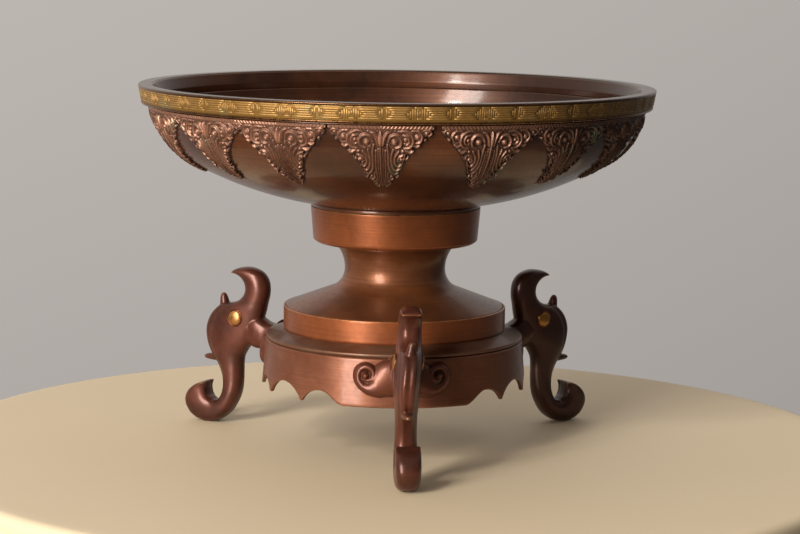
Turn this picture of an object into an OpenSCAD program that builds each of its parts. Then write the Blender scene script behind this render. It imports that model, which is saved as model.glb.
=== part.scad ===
// Footed flower basin in patinated bronze: a wide turned basin with a fret band and hanging
// lappets, a waisted pedestal that it seats in, and a three-legged stand with beast-head legs.
// Millimetres, +Z up. The origin is on the table, under the basin's axis. Azimuths are counted
// from -Y towards +X, so leg_front points along -Y.

/* [Basin] */
// Outer radius of the rim at its top edge
rim_r = 150; // [148:0.5:152]
// Height of the rim's top face above the table
rim_top = 211; // [210:0.5:213]
// Height of the rim ring
rim_h = 11; // [10:0.5:12]
// Thickness of the basin's wall
basin_wall = 3.2; // [2.5:0.1:4]
// Depth of the groove that the fret band lies in
fret_groove = 0.9; // [0.6:0.1:1.2]
// Number of lappets hanging under the rim
lappet_count = 16; // [16:1:16]
// Azimuth of the first lappet's stem
basin_turn = -6.5; // [-11:0.5:11]
// How far the lappets stand proud of the basin
lappet_relief = 2.8; // [2:0.1:3.2]
// Length of a lappet from its top edge to its tip, straight down its slope
lappet_len = 47; // [42:1:48]
// Radius of the spigot under the basin
spigot_r = 44; // [42:0.5:45]

/* [Pedestal] */
// Outer radius of the collar at its top
collar_r = 49.6; // [49:0.2:51]
// Height of the collar's top face above the table
collar_top = 140.5; // [140:0.1:141]
// Height of the collar
collar_h = 20; // [18:1:21]
// Radius of the neck at its waist
waist_r = 29.4; // [27:0.2:31]
// Radius of the drum
drum_r = 65; // [64:0.5:66]
// Height of the drum's top edge above the table
drum_top = 82.8; // [82:0.1:84]
// Thickness of the pedestal's wall
pedestal_wall = 3.4; // [3:0.1:4]

/* [Stand] */
// Height of the seat that the drum stands on
seat_z = 68.7; // [68:0.1:69]
// Outer radius of the ledge
ledge_r = 75.2; // [74:0.2:76]
// Outer radius of the apron at its lower edge
apron_foot_r = 77.6; // [77:0.2:78.4]
// Height of the apron's lower edge above the table
apron_foot_z = 35.2; // [34:0.2:36]
// Thickness of the apron
apron_wall = 2.3; // [2:0.1:3]
// Radius of the stand's seat bore
seat_bore_r = 58.05; // [58.05:0.01:58.05]
// Thickness of a leg across the head
leg_w = 15; // [14:0.2:16]
// Radius of the snail at the end of a volute
snail_r = 7.4; // [7:0.2:8]
// How far the scallops are turned from the legs, in degrees
scallop_turn = 1.6; // [0:0.2:2]
// Radius of the rivets that hold the legs
rivet_r = 2; // [1.5:0.1:2.4]

/* [Hidden] */
$fn = 96;
LEGS = ["front", "right", "left"];
SIDES = ["a", "b"];
LAPPETS = [for (i = [1:lappet_count]) str("lappet_", i < 10 ? "0" : "", i)];
EYES = [for (leg = LEGS, s = SIDES) str("eye_", leg, "_", s)];
VOLUTES = [for (leg = LEGS, s = SIDES) str("volute_", leg, "_", s)];

fit_gap = 0.05;
spigot_h = 13.5;
bowl_top = rim_top - rim_h;

// The basin's outside: a wide underside arc, tangent to a tighter shoulder arc.
foot_face_r = 49;
foot_face_z = 143;
shoulder_r = 42.5;
shoulder_c = [100, 204.5];
under_r = 215;
reach = under_r - shoulder_r;
lean_a = shoulder_c[0] - foot_face_r;
lean_b = shoulder_c[1] - foot_face_z;
lean_sum = (under_r * under_r - lean_a * lean_a - lean_b * lean_b - reach * reach) / (2 * reach);
// Angle from straight down at which the two arcs meet
meet_a = acos(lean_sum / norm([lean_a, lean_b])) - atan2(lean_a, lean_b);
under_c = shoulder_c + reach * [-sin(meet_a), cos(meet_a)];
under_a0 = asin((foot_face_r - under_c[0]) / under_r);

// Points of an arc about c, with angles counted from straight down towards +X
function arc(c, r, a0, a1, n) =
    [for (i = [0:n]) let (a = a0 + (a1 - a0) * i / n) c + r * [sin(a), -cos(a)]];
function turn_back(p) = [for (i = [len(p) - 1:-1:0]) p[i]];
function last(p) = p[len(p) - 1];
// The basin's outside shifted outwards by d, from the foot face up to height top
function bowl_side(d, top) = concat(
    arc(under_c, under_r + d, under_a0, meet_a, 20),
    arc(shoulder_c, shoulder_r + d, meet_a + 3, acos((shoulder_c[1] - top) / (shoulder_r + d)), 24));

// One span of a smooth curve through four neighbouring points, at fraction t of the middle pair
function span(a, b, c, d, t) =
    0.5 * (2 * b + (c - a) * t + (2 * a - 5 * b + 4 * c - d) * t * t + (3 * b - a - 3 * c + d) * t * t * t);
// A smooth open curve through points p, with n steps between neighbours
function smooth(p, n = 3) = [
    for (i = [0:len(p) - 2], j = [0:n - 1])
        span(p[max(i - 1, 0)], p[i], p[i + 1], p[min(i + 2, len(p) - 1)], j / n)];

// A leg's side outline as (distance from the axis, height), one stretch per edge of the beast
leg_stretches = [
    // root, nape and back of the crest
    [[74, 63.4], [80.5, 63.4], [85, 65.8], [87.4, 70.2], [86.8, 76], [85.3, 82], [85.7, 88.4],
        [89.4, 93.6], [96, 96.6], [103, 96.4], [110.8, 93]],
    // hollow in front of the crest
    [[110.8, 93], [105.6, 91.4], [101.8, 87.8], [100.7, 83.2], [102.2, 79], [105.8, 75.8], [111.4, 74]],
    // small blunt horn
    [[111.4, 74], [113.2, 77], [115.6, 79.4]],
    [[115.6, 79.4], [117.4, 78], [118.4, 73]],
    // forehead and brow
    [[118.4, 73], [122.2, 69.4], [125.2, 65], [126.9, 59.8], [126.9, 54], [125.4, 47.8], [124, 43]],
    // lip
    [[124, 43], [126, 42.2], [128.6, 41.4]],
    [[128.6, 41.4], [128, 38.6], [119.6, 37]],
    // front of the trunk, down into the curl
    [[119.6, 37], [116.8, 32.6], [115.2, 27], [115.4, 20.6], [117.2, 16], [120.2, 13.6],
        [123.2, 15.2], [124.8, 19.4], [125.2, 24.6]],
    // cut end of the trunk
    [[125.2, 24.6], [129, 24.1]],
    // outside of the curl, down to the foot
    [[129, 24.1], [134.2, 21.9], [138.8, 18], [141, 12.8], [139.8, 7.6], [135.6, 2.7], [129, 0]],
    // worn flat under the foot
    [[129, 0], [122.5, 0]],
    // back of the trunk and throat
    [[122.5, 0], [116.4, 2.2], [110.8, 6.6], [106.6, 12.6], [103.6, 19.8], [102.2, 28], [101.9, 36],
        [101.5, 42], [99.4, 45.8], [94, 47.6], [86, 48.6], [74, 48.6]]];
leg_outline = [for (s = leg_stretches) each smooth(s)];
// Half the leg's thickness against height: foot, trunk, head, crest
leg_profile = smooth([[7, -1], [7.1, 12], [6.4, 24], [6.1, 34], [7, 43], [leg_w / 2, 52],
    [leg_w / 2, 74], [6.7, 84], [6.4, 90], [5.8, 98]]);
leg_front_half = [for (p = leg_profile) [min(p[0], leg_w / 2), p[1]]];
leg_front_outline = concat(leg_front_half, [[5.8, 98], [-5.8, 98]],
    [for (p = turn_back(leg_front_half)) [-p[0], p[1]]]);
eye_r = 104.3;
eye_z = 66.2;
socket_r = 5.2;
dome_r = 4.4;

// Volute, as (distance sideways from the leg's middle, height)
snail_at = [20.6, 53.8];
bulb_at = [11.8, 49.2];
bulb_r = 8.6;

// Scallops of the apron, as azimuths from a leg
cusp_a = 48;
tab_a = 27;
cusp_flat = 0.5;
mid_arch_z = 44;
side_arch_z = 42.4;
side_arch_a = 38.5;
ledge_foot_z = 62.8;

// Puts a shape drawn along +X at azimuth a
module at_azimuth(a) {
    rotate([0, 0, a - 90]) children();
}

// Draws a (sideways, height) outline as a prism that runs from radius r0 outwards to r1
module outward(r0, r1) {
    translate([r0, 0, 0]) rotate([90, 0, 90]) linear_extrude(r1 - r0) children();
}

module turned(p) {
    rotate_extrude($fn = 180) polygon(p);
}

module basin_bowl() {
    inner = bowl_side(-basin_wall, bowl_top);
    color([0.42, 0.23, 0.14])
        turned(concat([[0, foot_face_z]], bowl_side(0, bowl_top), turn_back(inner),
            [[0, inner[0][1]]]));
}

// Outer radius of the rim at height z: the wall leans out towards the top
function rim_side(z) = rim_r - 2 * (rim_top - z) / rim_h;

module rim_ring() {
    inner_r = last(bowl_side(-basin_wall, bowl_top))[0];
    groove_lo = bowl_top + 1.2;
    groove_hi = rim_top - 1.5;
    color([0.45, 0.36, 0.26])
        turned([[inner_r, bowl_top], [rim_side(bowl_top), bowl_top],
            [rim_side(groove_lo), groove_lo], [rim_side(groove_lo) - fret_groove, groove_lo],
            [rim_side(groove_hi) - fret_groove, groove_hi], [rim_side(groove_hi), groove_hi],
            [rim_side(rim_top - 0.7), rim_top - 0.7], [rim_r - 0.6, rim_top],
            [rim_r - 7.6, rim_top], [rim_r - 8.4, rim_top - 0.7], [inner_r, rim_top - 6]]);
}

module fret_band() {
    low = bowl_top + 1.2;
    high = rim_top - 1.5;
    inset = 0.1;
    color([0.74, 0.55, 0.31])
        turned([[rim_side(low) - fret_groove, low], [rim_side(low) - inset, low],
            [rim_side(high) - inset, high], [rim_side(high) - fret_groove, high]]);
}

// Spigot ring that drops into the collar, with a short plain foot above the seam
module foot_ring() {
    foot_z = collar_top - spigot_h;
    wall = 7;
    edge = 0.4;
    color([0.36, 0.2, 0.13])
        turned([[spigot_r - wall, foot_z], [spigot_r - 1, foot_z], [spigot_r, foot_z + 1],
            [spigot_r, collar_top], [foot_face_r - edge, collar_top],
            [foot_face_r, collar_top + edge], [foot_face_r, foot_face_z],
            [spigot_r - wall, foot_face_z]]);
}

// Pendant outline seen square to its 45 degree slope: broad at the rim, drawn in to a tip,
// with a lobed edge. Measured down from the top edge.
function lappet_half(s) = let (f = s / lappet_len)
    (rim_r * sin(180 / lappet_count) - 1.6) * pow(1 - f, 1.25) + 1.1 * abs(sin(f * 900)) * (1 - f);
lappet_edge = [for (i = [0:30]) let (s = lappet_len * i / 30) [lappet_half(s), -s]];

module lappet(i) {
    slope = 45;
    top = bowl_top - 0.4;
    skin = concat(bowl_side(0, top), turn_back(bowl_side(lappet_relief, top)));
    edge_at = [last(bowl_side(lappet_relief, top))[0], 0, top];
    color([0.55, 0.34, 0.26])
        intersection() {
            turned(skin);
            at_azimuth(basin_turn + i * 360 / lappet_count)
                translate(edge_at) rotate([0, slope, 0]) translate([-20, 0, 0]) outward(0, 36)
                    polygon(concat([[-lappet_half(0), 6], [lappet_half(0), 6]], lappet_edge,
                        [for (p = turn_back(lappet_edge)) [-p[0], p[1]]]));
        }
}

module collar_cup() {
    low = collar_top - collar_h;
    foot_r = collar_r - 1.6;
    bore_r = spigot_r + fit_gap;
    floor_z = collar_top - spigot_h - 1;
    corner = 1.6;
    edge = 0.4;
    color([0.62, 0.36, 0.2])
        turned(concat([[0, column_top], [column_head_r, column_top], [foot_r - 2, low - 0.6]],
            arc([foot_r - corner, low + 1], corner, 10, 85, 5),
            [[collar_r, collar_top - edge], [collar_r - edge, collar_top], [bore_r, collar_top],
                [bore_r, floor_z], [0, floor_z]]));
}

// Side of the pedestal column shifted outwards by d: shoulder under the collar, waist, bell
waist_z = 104;
upper_arc_r = 21.4;
lower_arc_r = 12.4;
bell_slope = 21;
column_top = collar_top - collar_h - 2.5;
column_head_r = 34.6;
bell_r = 64.2;
bell_lip = 5;
lip_z = drum_top - 5;
function column_side(d) = let (up_c = [waist_r + upper_arc_r, waist_z],
    low_c = [waist_r + lower_arc_r, waist_z],
    top_a = asin((column_top - waist_z) / (upper_arc_r - d)),
    knee = low_c + (lower_arc_r - d) * [-sin(bell_slope), -cos(bell_slope)])
    concat([for (i = [10:-1:0]) let (a = top_a * i / 10) up_c + (upper_arc_r - d) * [-cos(a), sin(a)]],
        [for (i = [1:14]) let (a = (90 - bell_slope) * i / 14)
            low_c + (lower_arc_r - d) * [-cos(a), -sin(a)]],
        [[bell_r, knee[1] - (bell_r - knee[0]) * tan(bell_slope)]]);

module pedestal_column() {
    inner = column_side(-pedestal_wall);
    color([0.34, 0.19, 0.13])
        turned(concat(column_side(0), [[bell_r, lip_z], [bell_r - bell_lip, lip_z]],
            [for (p = turn_back(inner)) if (p[0] < bell_r - bell_lip) p]));
}

// Drum under the bell's edge, with the spigot that drops into the ledge
module drum_ring() {
    edge = 0.9;
    spigot = seat_bore_r - fit_gap;
    spigot_foot = seat_z - 5;
    top_z = last(column_side(0))[1];
    color([0.6, 0.34, 0.18])
        turned([[spigot - 4, spigot_foot], [spigot, spigot_foot], [spigot, seat_z],
            [drum_r - edge, seat_z], [drum_r - 0.3, seat_z + 0.3], [drum_r, seat_z + edge],
            [drum_r, top_z - 0.6], [drum_r - 0.2, top_z - 0.1], [bell_r, top_z],
            [bell_r, lip_z], [spigot - 4, lip_z]]);
}

// Ring that the drum stands on, with a bead round its edge
module ledge_ring() {
    bead = 1.2;
    bead_c = [ledge_r - bead, seat_z - 4.2];
    inset = 0.8;
    seat_r = drum_r + 0.2;
    color([0.36, 0.27, 0.22])
        turned(concat([[seat_bore_r, ledge_foot_z], [ledge_r - inset, ledge_foot_z],
            [ledge_r - inset, ledge_foot_z + 0.5]],
            arc(bead_c, bead, 50, 170, 8),
            [[seat_r, seat_z - 0.1], [seat_r, seat_z], [seat_bore_r, seat_z]]));
}

// Outer radius of the apron at height z
function apron_side(z) =
    apron_foot_r - (apron_foot_r - ledge_r) * (z - apron_foot_z) / (ledge_foot_z - apron_foot_z);

// Solid cone whose side is the outside of the apron
module apron_cone() {
    turned([[0, 20], [apron_side(20), 20], [apron_side(80), 80], [0, 80]]);
}

// Middle scallop: a round arch between two cusps
module mid_arch() {
    half = apron_foot_r * sin(60 - cusp_a) - cusp_flat;
    rise = mid_arch_z - apron_foot_z;
    r = (half * half + rise * rise) / (2 * rise);
    translate([0, mid_arch_z - r]) circle(r);
}

// Side scallop: a round arch on the cusp's side that falls away in a slope on the tab's side
module side_arch() {
    half = apron_foot_r * sin(cusp_a - side_arch_a) - cusp_flat;
    rise = side_arch_z - apron_foot_z;
    r = (half * half + rise * rise) / (2 * rise);
    tab_x = -apron_foot_r * sin(side_arch_a - tab_a);
    translate([0, side_arch_z - r]) circle(r);
    polygon([[0, side_arch_z], [-4, side_arch_z - 0.8], [-8, side_arch_z - 3], [-11, side_arch_z - 5.2],
        [tab_x, apron_foot_z + 0.4], [tab_x, apron_foot_z - 2], [0, apron_foot_z - 2]]);
}

module apron() {
    inner_top = apron_side(ledge_foot_z) - apron_wall;
    color([0.6, 0.36, 0.24])
        difference() {
            turned([[inner_top, ledge_foot_z], [apron_foot_r - apron_wall, apron_foot_z],
                [apron_foot_r, apron_foot_z], [apron_side(ledge_foot_z), ledge_foot_z]]);
            for (k = [0:2]) {
                at_azimuth(scallop_turn + 60 + 120 * k) outward(60, 90) mid_arch();
                at_azimuth(scallop_turn + 120 * k + side_arch_a) outward(60, 90) side_arch();
                at_azimuth(scallop_turn + 120 * k - side_arch_a)
                    outward(60, 90) mirror([1, 0]) side_arch();
            }
            rivets(head_h);
        }
}

// The legs' rivets, two to a leg, one above the other, with heads of height head inside the apron
head_h = 1.6;
head_seat = 0.6;
module rivets(head) {
    for (k = [0:2], z = [52, 59])
        at_azimuth(120 * k)
            translate([apron_side(z) - apron_wall, 0, z]) rotate([0, 90, 0]) {
                translate([0, 0, -head_seat]) cylinder(r = rivet_r, h = 9, $fn = 32);
                if (head > 0)
                    translate([0, 0, -head]) cylinder(r = rivet_r + 1, h = head, $fn = 32);
            }
}

module leg_rivets() {
    color([0.5, 0.3, 0.18]) rivets(head_h);
}

module leg_solid() {
    intersection() {
        rotate([90, 0, 0]) linear_extrude(leg_w + 1, center = true) polygon(leg_outline);
        outward(60, 150) polygon(leg_front_outline);
    }
}

module leg(k) {
    color([0.36, 0.19, 0.14])
        difference() {
            at_azimuth(120 * k) leg_solid();
            apron_cone();
            rivets(0);
        }
}

// Eye in its socket ring, on one side of a beast's head
module eye(k, side) {
    cap_h = 2.6;
    cap_r = (dome_r * dome_r + cap_h * cap_h) / (2 * cap_h);
    cap = [for (i = [0:10]) let (a = asin(dome_r / cap_r) * i / 10)
        [cap_r * sin(a), cap_r * cos(a) - cap_r + cap_h + 0.4]];
    color([0.85, 0.62, 0.26])
        at_azimuth(120 * k)
            translate([eye_r, side * leg_w / 2, eye_z]) rotate([-90 * side, 0, 0])
                rotate_extrude($fn = 64)
                    polygon(concat([[0, 0], [socket_r, 0], [socket_r, 0.5], [socket_r - 0.5, 1],
                        [dome_r, 0.4]], turn_back(cap)));
}

// Snail-ended volute beside a leg's root, on the face of the apron
module volute(k, side) {
    depth = 5;
    color([0.52, 0.3, 0.22])
        difference() {
            at_azimuth(120 * k)
                mirror([0, side < 0 ? 1 : 0, 0]) {
                    translate([apron_side(54) - 6, snail_at[0], snail_at[1]]) rotate([0, 90, 0])
                        rotate_extrude()
                            polygon([[0, 0], [snail_r, 0], [snail_r, depth + 0.6],
                                [snail_r - 1, depth + 2.4], [snail_r - 3, depth + 3], [0, depth + 3]]);
                    translate([apron_side(54) - 1.5, bulb_at[0], bulb_at[1]]) sphere(bulb_r);
                }
            apron_cone();
            at_azimuth(120 * k) leg_solid();
        }
}

basin_bowl();
rim_ring();
fret_band();
foot_ring();
for (i = [0:lappet_count - 1])
    lappet(i);
collar_cup();
pedestal_column();
drum_ring();
ledge_ring();
apron();
for (k = [0:2])
    leg(k);
for (k = [0:2], s = [0:1]) {
    eye(k, 2 * s - 1);
    volute(k, 2 * s - 1);
}
leg_rivets();
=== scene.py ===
"""Looks of a footed bronze flower basin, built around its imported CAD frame.

Lengths inside the shape functions are in millimetres; make_mesh turns them to metres.
Azimuths are counted in degrees from -Y towards +X, as in the CAD model.
"""

import math

import bpy
import numpy as np
from mathutils import Matrix, Vector


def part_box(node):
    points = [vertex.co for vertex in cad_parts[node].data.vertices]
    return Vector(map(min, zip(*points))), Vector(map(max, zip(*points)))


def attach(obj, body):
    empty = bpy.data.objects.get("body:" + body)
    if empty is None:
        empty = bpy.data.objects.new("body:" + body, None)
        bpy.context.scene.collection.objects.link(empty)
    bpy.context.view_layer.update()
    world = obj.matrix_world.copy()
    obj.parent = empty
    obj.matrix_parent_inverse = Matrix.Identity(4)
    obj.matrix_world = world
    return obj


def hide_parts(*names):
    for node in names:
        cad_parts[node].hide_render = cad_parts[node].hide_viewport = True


bl_info = {
    "name": "Footed Flower Basin",
    "version": (1, 0, 0),
    "blender": (4, 5, 0),
    "location": "3D View > Sidebar > Basin",
    "description": "Builds a bronze flower basin, its pedestal and its three-legged stand",
    "category": "Add Mesh",
}

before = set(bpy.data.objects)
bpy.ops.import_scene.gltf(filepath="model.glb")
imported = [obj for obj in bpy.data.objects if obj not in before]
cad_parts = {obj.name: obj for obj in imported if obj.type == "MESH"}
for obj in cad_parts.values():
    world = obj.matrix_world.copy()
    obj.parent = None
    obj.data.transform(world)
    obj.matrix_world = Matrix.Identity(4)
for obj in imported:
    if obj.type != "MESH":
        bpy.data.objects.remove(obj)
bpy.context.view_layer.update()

MM = 0.001
LEGS = ("front", "right", "left")
SIDES = ((-1, "a"), (1, "b"))
LEG_STEP = 120.0
# Radii of the spigots under the basin and under the drum, and the play round each, in mm
BASIN_SPIGOT = 44.0
DRUM_SPIGOT = 58.0
PLAY = 0.05


def top_of(node):
    """Height of a CAD node's top, in mm."""
    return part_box(node)[1].z / MM


def foot_of(node):
    """Height of a CAD node's lowest point, in mm."""
    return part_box(node)[0].z / MM


def radius_of(node):
    """Outer radius of a turned CAD node, in mm."""
    low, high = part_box(node)
    return (high.x - low.x) / 2 / MM


def srgb(code):
    """A colour written as 0xRRGGBB, turned from sRGB to linear."""
    parts = [(code >> shift & 255) / 255 for shift in (16, 8, 0)]
    return tuple(p / 12.92 if p <= 0.04045 else ((p + 0.055) / 1.055) ** 2.4 for p in parts)


# ---------------------------------------------------------------- sizes and colours


def length(name, text, value):
    """A length property; value is in mm and is kept in metres."""
    return bpy.props.FloatProperty(
        name=name, description=text, default=value * MM, min=0.0, unit="LENGTH", precision=4
    )


def angle(name, text, value):
    """An angle property; value is in degrees and is kept in radians."""
    return bpy.props.FloatProperty(
        name=name, description=text, default=math.radians(value), subtype="ANGLE"
    )


def colour(name, text, code):
    """A colour property with its default written as sRGB hex."""
    return bpy.props.FloatVectorProperty(
        name=name, description=text, default=srgb(code), min=0.0, max=1.0, size=3, subtype="COLOR"
    )


class BasinSizes(bpy.types.PropertyGroup):
    """Sizes of the basin that lifts off."""

    wall: length("Wall", "Thickness of the basin's wall", 3.2)
    foot_radius: length("Foot face", "Radius at which the underside starts", 49.0)
    under_radius: length("Underside arc", "Radius of the wide arc under the basin", 215.0)
    shoulder_radius: length("Shoulder arc", "Radius of the tight arc below the rim", 42.5)
    shoulder_out: length("Shoulder out", "Distance of the shoulder arc's centre from the axis", 100.0)
    shoulder_up: length("Shoulder up", "Height of the shoulder arc's centre", 204.5)
    lean: length("Rim lean", "How much further out the rim is at its top than at its foot", 2.0)
    groove: length("Groove", "Depth of the groove that the fret lies in", 0.9)
    relief: length("Relief", "Height of the tallest relief on a lappet", 2.7)
    lappet_length: length("Lappet length", "Length of a lappet along the basin's side", 49.0)


class StandSizes(bpy.types.PropertyGroup):
    """Sizes of the pedestal and the stand."""

    pedestal_wall: length("Pedestal wall", "Thickness of the pedestal's wall", 3.4)
    waist: length("Waist", "Radius of the neck at its narrowest", 29.4)
    apron_wall: length("Apron wall", "Thickness of the apron", 2.3)
    tab_height: length("Tab height", "Height of the apron's lowest edge", 35.2)
    side_arch: length("Side arch", "Height of the scallops beside a leg", 42.4)
    middle_arch: length("Middle arch", "Height of the scallop midway between legs", 44.0)
    scallop_turn: angle("Scallop turn", "How far the scallops are turned from the legs", 1.6)


class FinishColours(bpy.types.PropertyGroup):
    """Colours of the patinas."""

    bowl: colour("Bowl", "Red-brown patina of the basin", 0x703F22)
    bowl_dark: colour("Bowl, dark", "Darker clouds in the basin's patina", 0x3E2417)
    lappet: colour("Lappets", "Rubbed copper tops of the lappets", 0xC69074)
    lappet_dark: colour("Lappets, dark", "Dark brown left in the lappets' recesses", 0x3E241A)
    fret: colour("Fret", "Gold lines of the fret", 0xA8824A)
    fret_dark: colour("Fret ground", "Brown ground between the fret's lines", 0x8A662F)
    rim: colour("Rim", "Grey-brown rubbed rim", 0x62482F)
    collar: colour("Collar", "Coppery turned bronze of collar and drum", 0x92512A)
    collar_dark: colour("Collar, dark", "Darker clouds on collar and drum", 0x7A4223)
    column: colour("Column", "Brown patina of neck and bell", 0x7C4A2A)
    column_dark: colour("Column, dark", "Darker clouds on neck and bell", 0x5C3620)
    ledge: colour("Ledge", "Grey-brown patina of the ledge", 0x6A5140)
    apron: colour("Apron", "Pinkish copper patina of the apron", 0x80503A)
    apron_dark: colour("Apron, dark", "Browner clouds on the apron", 0x6A3C26)
    leg: colour("Legs", "Satin red-brown patina of the legs", 0x5E3225)
    leg_dark: colour("Legs, dark", "Darker clouds on the legs", 0x442419)
    gilt: colour("Gilt", "Gold where bronze is rubbed bare, and the eyes", 0xB4804C)
    verdigris: colour("Verdigris", "Green corrosion in a few recesses", 0x7D9A78)
    floor: colour("Floor", "Pale table top", 0xDCCAAA)


class StageSettings(bpy.types.PropertyGroup):
    """Camera."""

    distance: length("Camera distance", "Distance of the camera in front of the axis", 1415.1)
    height: length("Camera height", "Height of the camera above the floor", 304.0)
    azimuth: angle("Camera azimuth", "Side from which the camera looks, from -Y towards +X", -3.71)
    turn: angle("Camera turn", "How far the camera looks past the axis, to the right", 0.12)
    pitch: angle("Camera pitch", "How far the camera looks down", 8.03)
    roll: angle("Camera roll", "Turn of the camera about its own axis", 0.785)
    lens: bpy.props.FloatProperty(
        name="Focal length",
        description="Focal length for a 36 mm wide sensor, in mm",
        default=109.7,
        min=1.0,
    )


# ---------------------------------------------------------------- curves and grids


def arc(centre, radius, start, end, steps):
    """Points of a circle about centre: angles in degrees, from straight down towards +r."""
    a = np.radians(np.linspace(start, end, steps))
    return np.stack([centre[0] + radius * np.sin(a), centre[1] - radius * np.cos(a)], 1)


def rounded(corners, steps=7):
    """Closed profile through corners (r, z, fillet): each corner is cut by a quadratic curve that
    runs tangent to both sides, from the one tangent point to the other, with the corner as handle."""
    spots = np.array([c[:2] for c in corners], float)
    pieces = []
    for i, (r, z, fillet) in enumerate(corners):
        corner = np.array([r, z])
        back = spots[i - 1] - corner
        ahead = spots[(i + 1) % len(spots)] - corner
        back_len, ahead_len = np.linalg.norm(back), np.linalg.norm(ahead)
        back, ahead = back / back_len, ahead / ahead_len
        half = math.acos(float(np.clip(back @ ahead, -1, 1))) / 2
        straight = half > math.pi / 2 - 0.02
        if fillet == 0 or straight:
            pieces.append(corner[None])
            continue
        cut = min(fillet / math.tan(half), 0.48 * back_len, 0.48 * ahead_len)
        t = np.linspace(0, 1, steps)[:, None]
        pieces.append(corner + cut * ((1 - t) ** 2 * back + t**2 * ahead))
    return np.concatenate(pieces)


def densify(points, step, closed):
    """The same profile with no gap wider than step: regular stops are added between its points."""
    ring = np.concatenate([points, points[:1]]) if closed else points
    gaps = np.linalg.norm(np.diff(ring, axis=0), axis=1)
    at = np.concatenate([[0], np.cumsum(gaps)])
    stops = np.arange(0, at[-1], step)
    too_near = np.abs(stops[:, None] - at[None]).min(1) < 0.3 * step
    both = np.union1d(at, stops[~too_near])
    if closed:
        both = both[:-1]
    return np.stack([np.interp(both, at, ring[:, k]) for k in (0, 1)], 1)


def smooth_curve(stations, steps):
    """Catmull-Rom curve through the rows of stations: each span blends four neighbouring rows."""
    rows = np.asarray(stations, float)
    padded = np.concatenate([2 * rows[:1] - rows[1:2], rows, 2 * rows[-1:] - rows[-2:-1]])
    t = np.linspace(0, len(rows) - 1, steps)
    i = np.minimum(t.astype(int), len(rows) - 2)
    f = (t - i)[:, None]
    a, b, c, d = (padded[i + k] for k in range(4))
    return 0.5 * (
        2 * b + (c - a) * f + (2 * a - 5 * b + 4 * c - d) * f**2 + (3 * b - a - 3 * c + d) * f**3
    )


def step_up(x, low, high):
    """Smooth rise from 0 at low to 1 at high."""
    t = np.clip((x - low) / (high - low), 0, 1)
    return t * t * (3 - 2 * t)


def grid_faces(rows, cols, wrap_rows, wrap_cols):
    """Quads of a grid of points stored row by row; either direction may close on itself."""
    i = np.arange(rows if wrap_rows else rows - 1)[:, None]
    j = np.arange(cols if wrap_cols else cols - 1)[None]
    down, across = (i + 1) % rows, (j + 1) % cols
    quads = np.stack(
        [i * cols + j, i * cols + across, down * cols + across, down * cols + j], -1
    )
    return quads.reshape(-1, 4)


def fan(ring, hub):
    """Triangles from a closed ring of indices to one hub point."""
    ring = np.asarray(ring)
    return np.stack([ring, np.roll(ring, -1), np.full(len(ring), hub)], 1)


def to_azimuth(points, azimuth):
    """Turns points made with +X outwards and +Y sideways to an azimuth in degrees."""
    a = math.radians(azimuth - 90)
    turn = np.array([[math.cos(a), -math.sin(a), 0], [math.sin(a), math.cos(a), 0], [0, 0, 1]])
    return points @ turn.T


# ---------------------------------------------------------------- meshes


def make_mesh(name, points, faces):
    """Mesh in metres from points in mm and index arrays of faces, turned to face outwards."""
    points = np.asarray(points, float)
    volume = 0.0
    for group in faces:
        a = points[group[:, 0]]
        for k in range(1, group.shape[1] - 1):
            b, c = points[group[:, k]], points[group[:, k + 1]]
            volume += float(np.einsum("ij,ij->i", a, np.cross(b, c)).sum())
    if volume < 0:
        faces = [group[:, ::-1] for group in faces]
    corners = np.concatenate([group.ravel() for group in faces]).astype(np.int32)
    sizes = np.concatenate([np.full(len(group), group.shape[1]) for group in faces])
    mesh = bpy.data.meshes.new(name)
    mesh.vertices.add(len(points))
    mesh.vertices.foreach_set("co", (points * MM).ravel().astype(np.float32))
    mesh.loops.add(len(corners))
    mesh.loops.foreach_set("vertex_index", corners)
    mesh.polygons.add(len(sizes))
    starts = np.concatenate([[0], np.cumsum(sizes)[:-1]]).astype(np.int32)
    mesh.polygons.foreach_set("loop_start", starts)
    mesh.polygons.foreach_set("use_smooth", np.ones(len(sizes), bool))
    mesh.update(calc_edges=True)
    mesh.validate()
    return mesh


def read_points(mesh):
    """Vertex positions of a mesh in mm."""
    flat = np.zeros(len(mesh.vertices) * 3, np.float32)
    mesh.vertices.foreach_get("co", flat)
    return flat.reshape(-1, 3).astype(float) / MM


def write_values(mesh, name, values):
    """Stores one number per vertex under an attribute name."""
    layer = mesh.attributes.new(name, "FLOAT", "POINT")
    layer.data.foreach_set("value", np.asarray(values, np.float32))


def mark_edges(mesh, spread):
    """Attribute edge: how far each vertex stands above its neighbours, over their distance squared.
    It is a curvature in 1/mm, positive on convex edges and negative in recesses, averaged
    with the neighbours spread times."""
    points = read_points(mesh)
    ends = np.zeros(len(mesh.edges) * 2, np.int32)
    mesh.edges.foreach_get("vertices", ends)
    ends = ends.reshape(-1, 2)
    normals = np.zeros(len(points) * 3, np.float32)
    mesh.vertex_normals.foreach_get("vector", normals)
    normals = normals.reshape(-1, 3)
    here = np.concatenate([ends[:, 0], ends[:, 1]])
    there = np.concatenate([ends[:, 1], ends[:, 0]])
    gap = points[there] - points[here]
    least = 0.01
    square = np.maximum((gap**2).sum(1), least)
    bend = -2 * (gap * normals[here]).sum(1) / square
    count = np.maximum(np.bincount(here, minlength=len(points)), 1)
    edge = np.bincount(here, bend, len(points)) / count
    for _ in range(spread):
        edge = 0.5 * edge + 0.5 * np.bincount(here, edge[there], len(points)) / count
    sharpest = 2.0
    write_values(mesh, "edge", np.clip(edge, -sharpest, sharpest))


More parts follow.
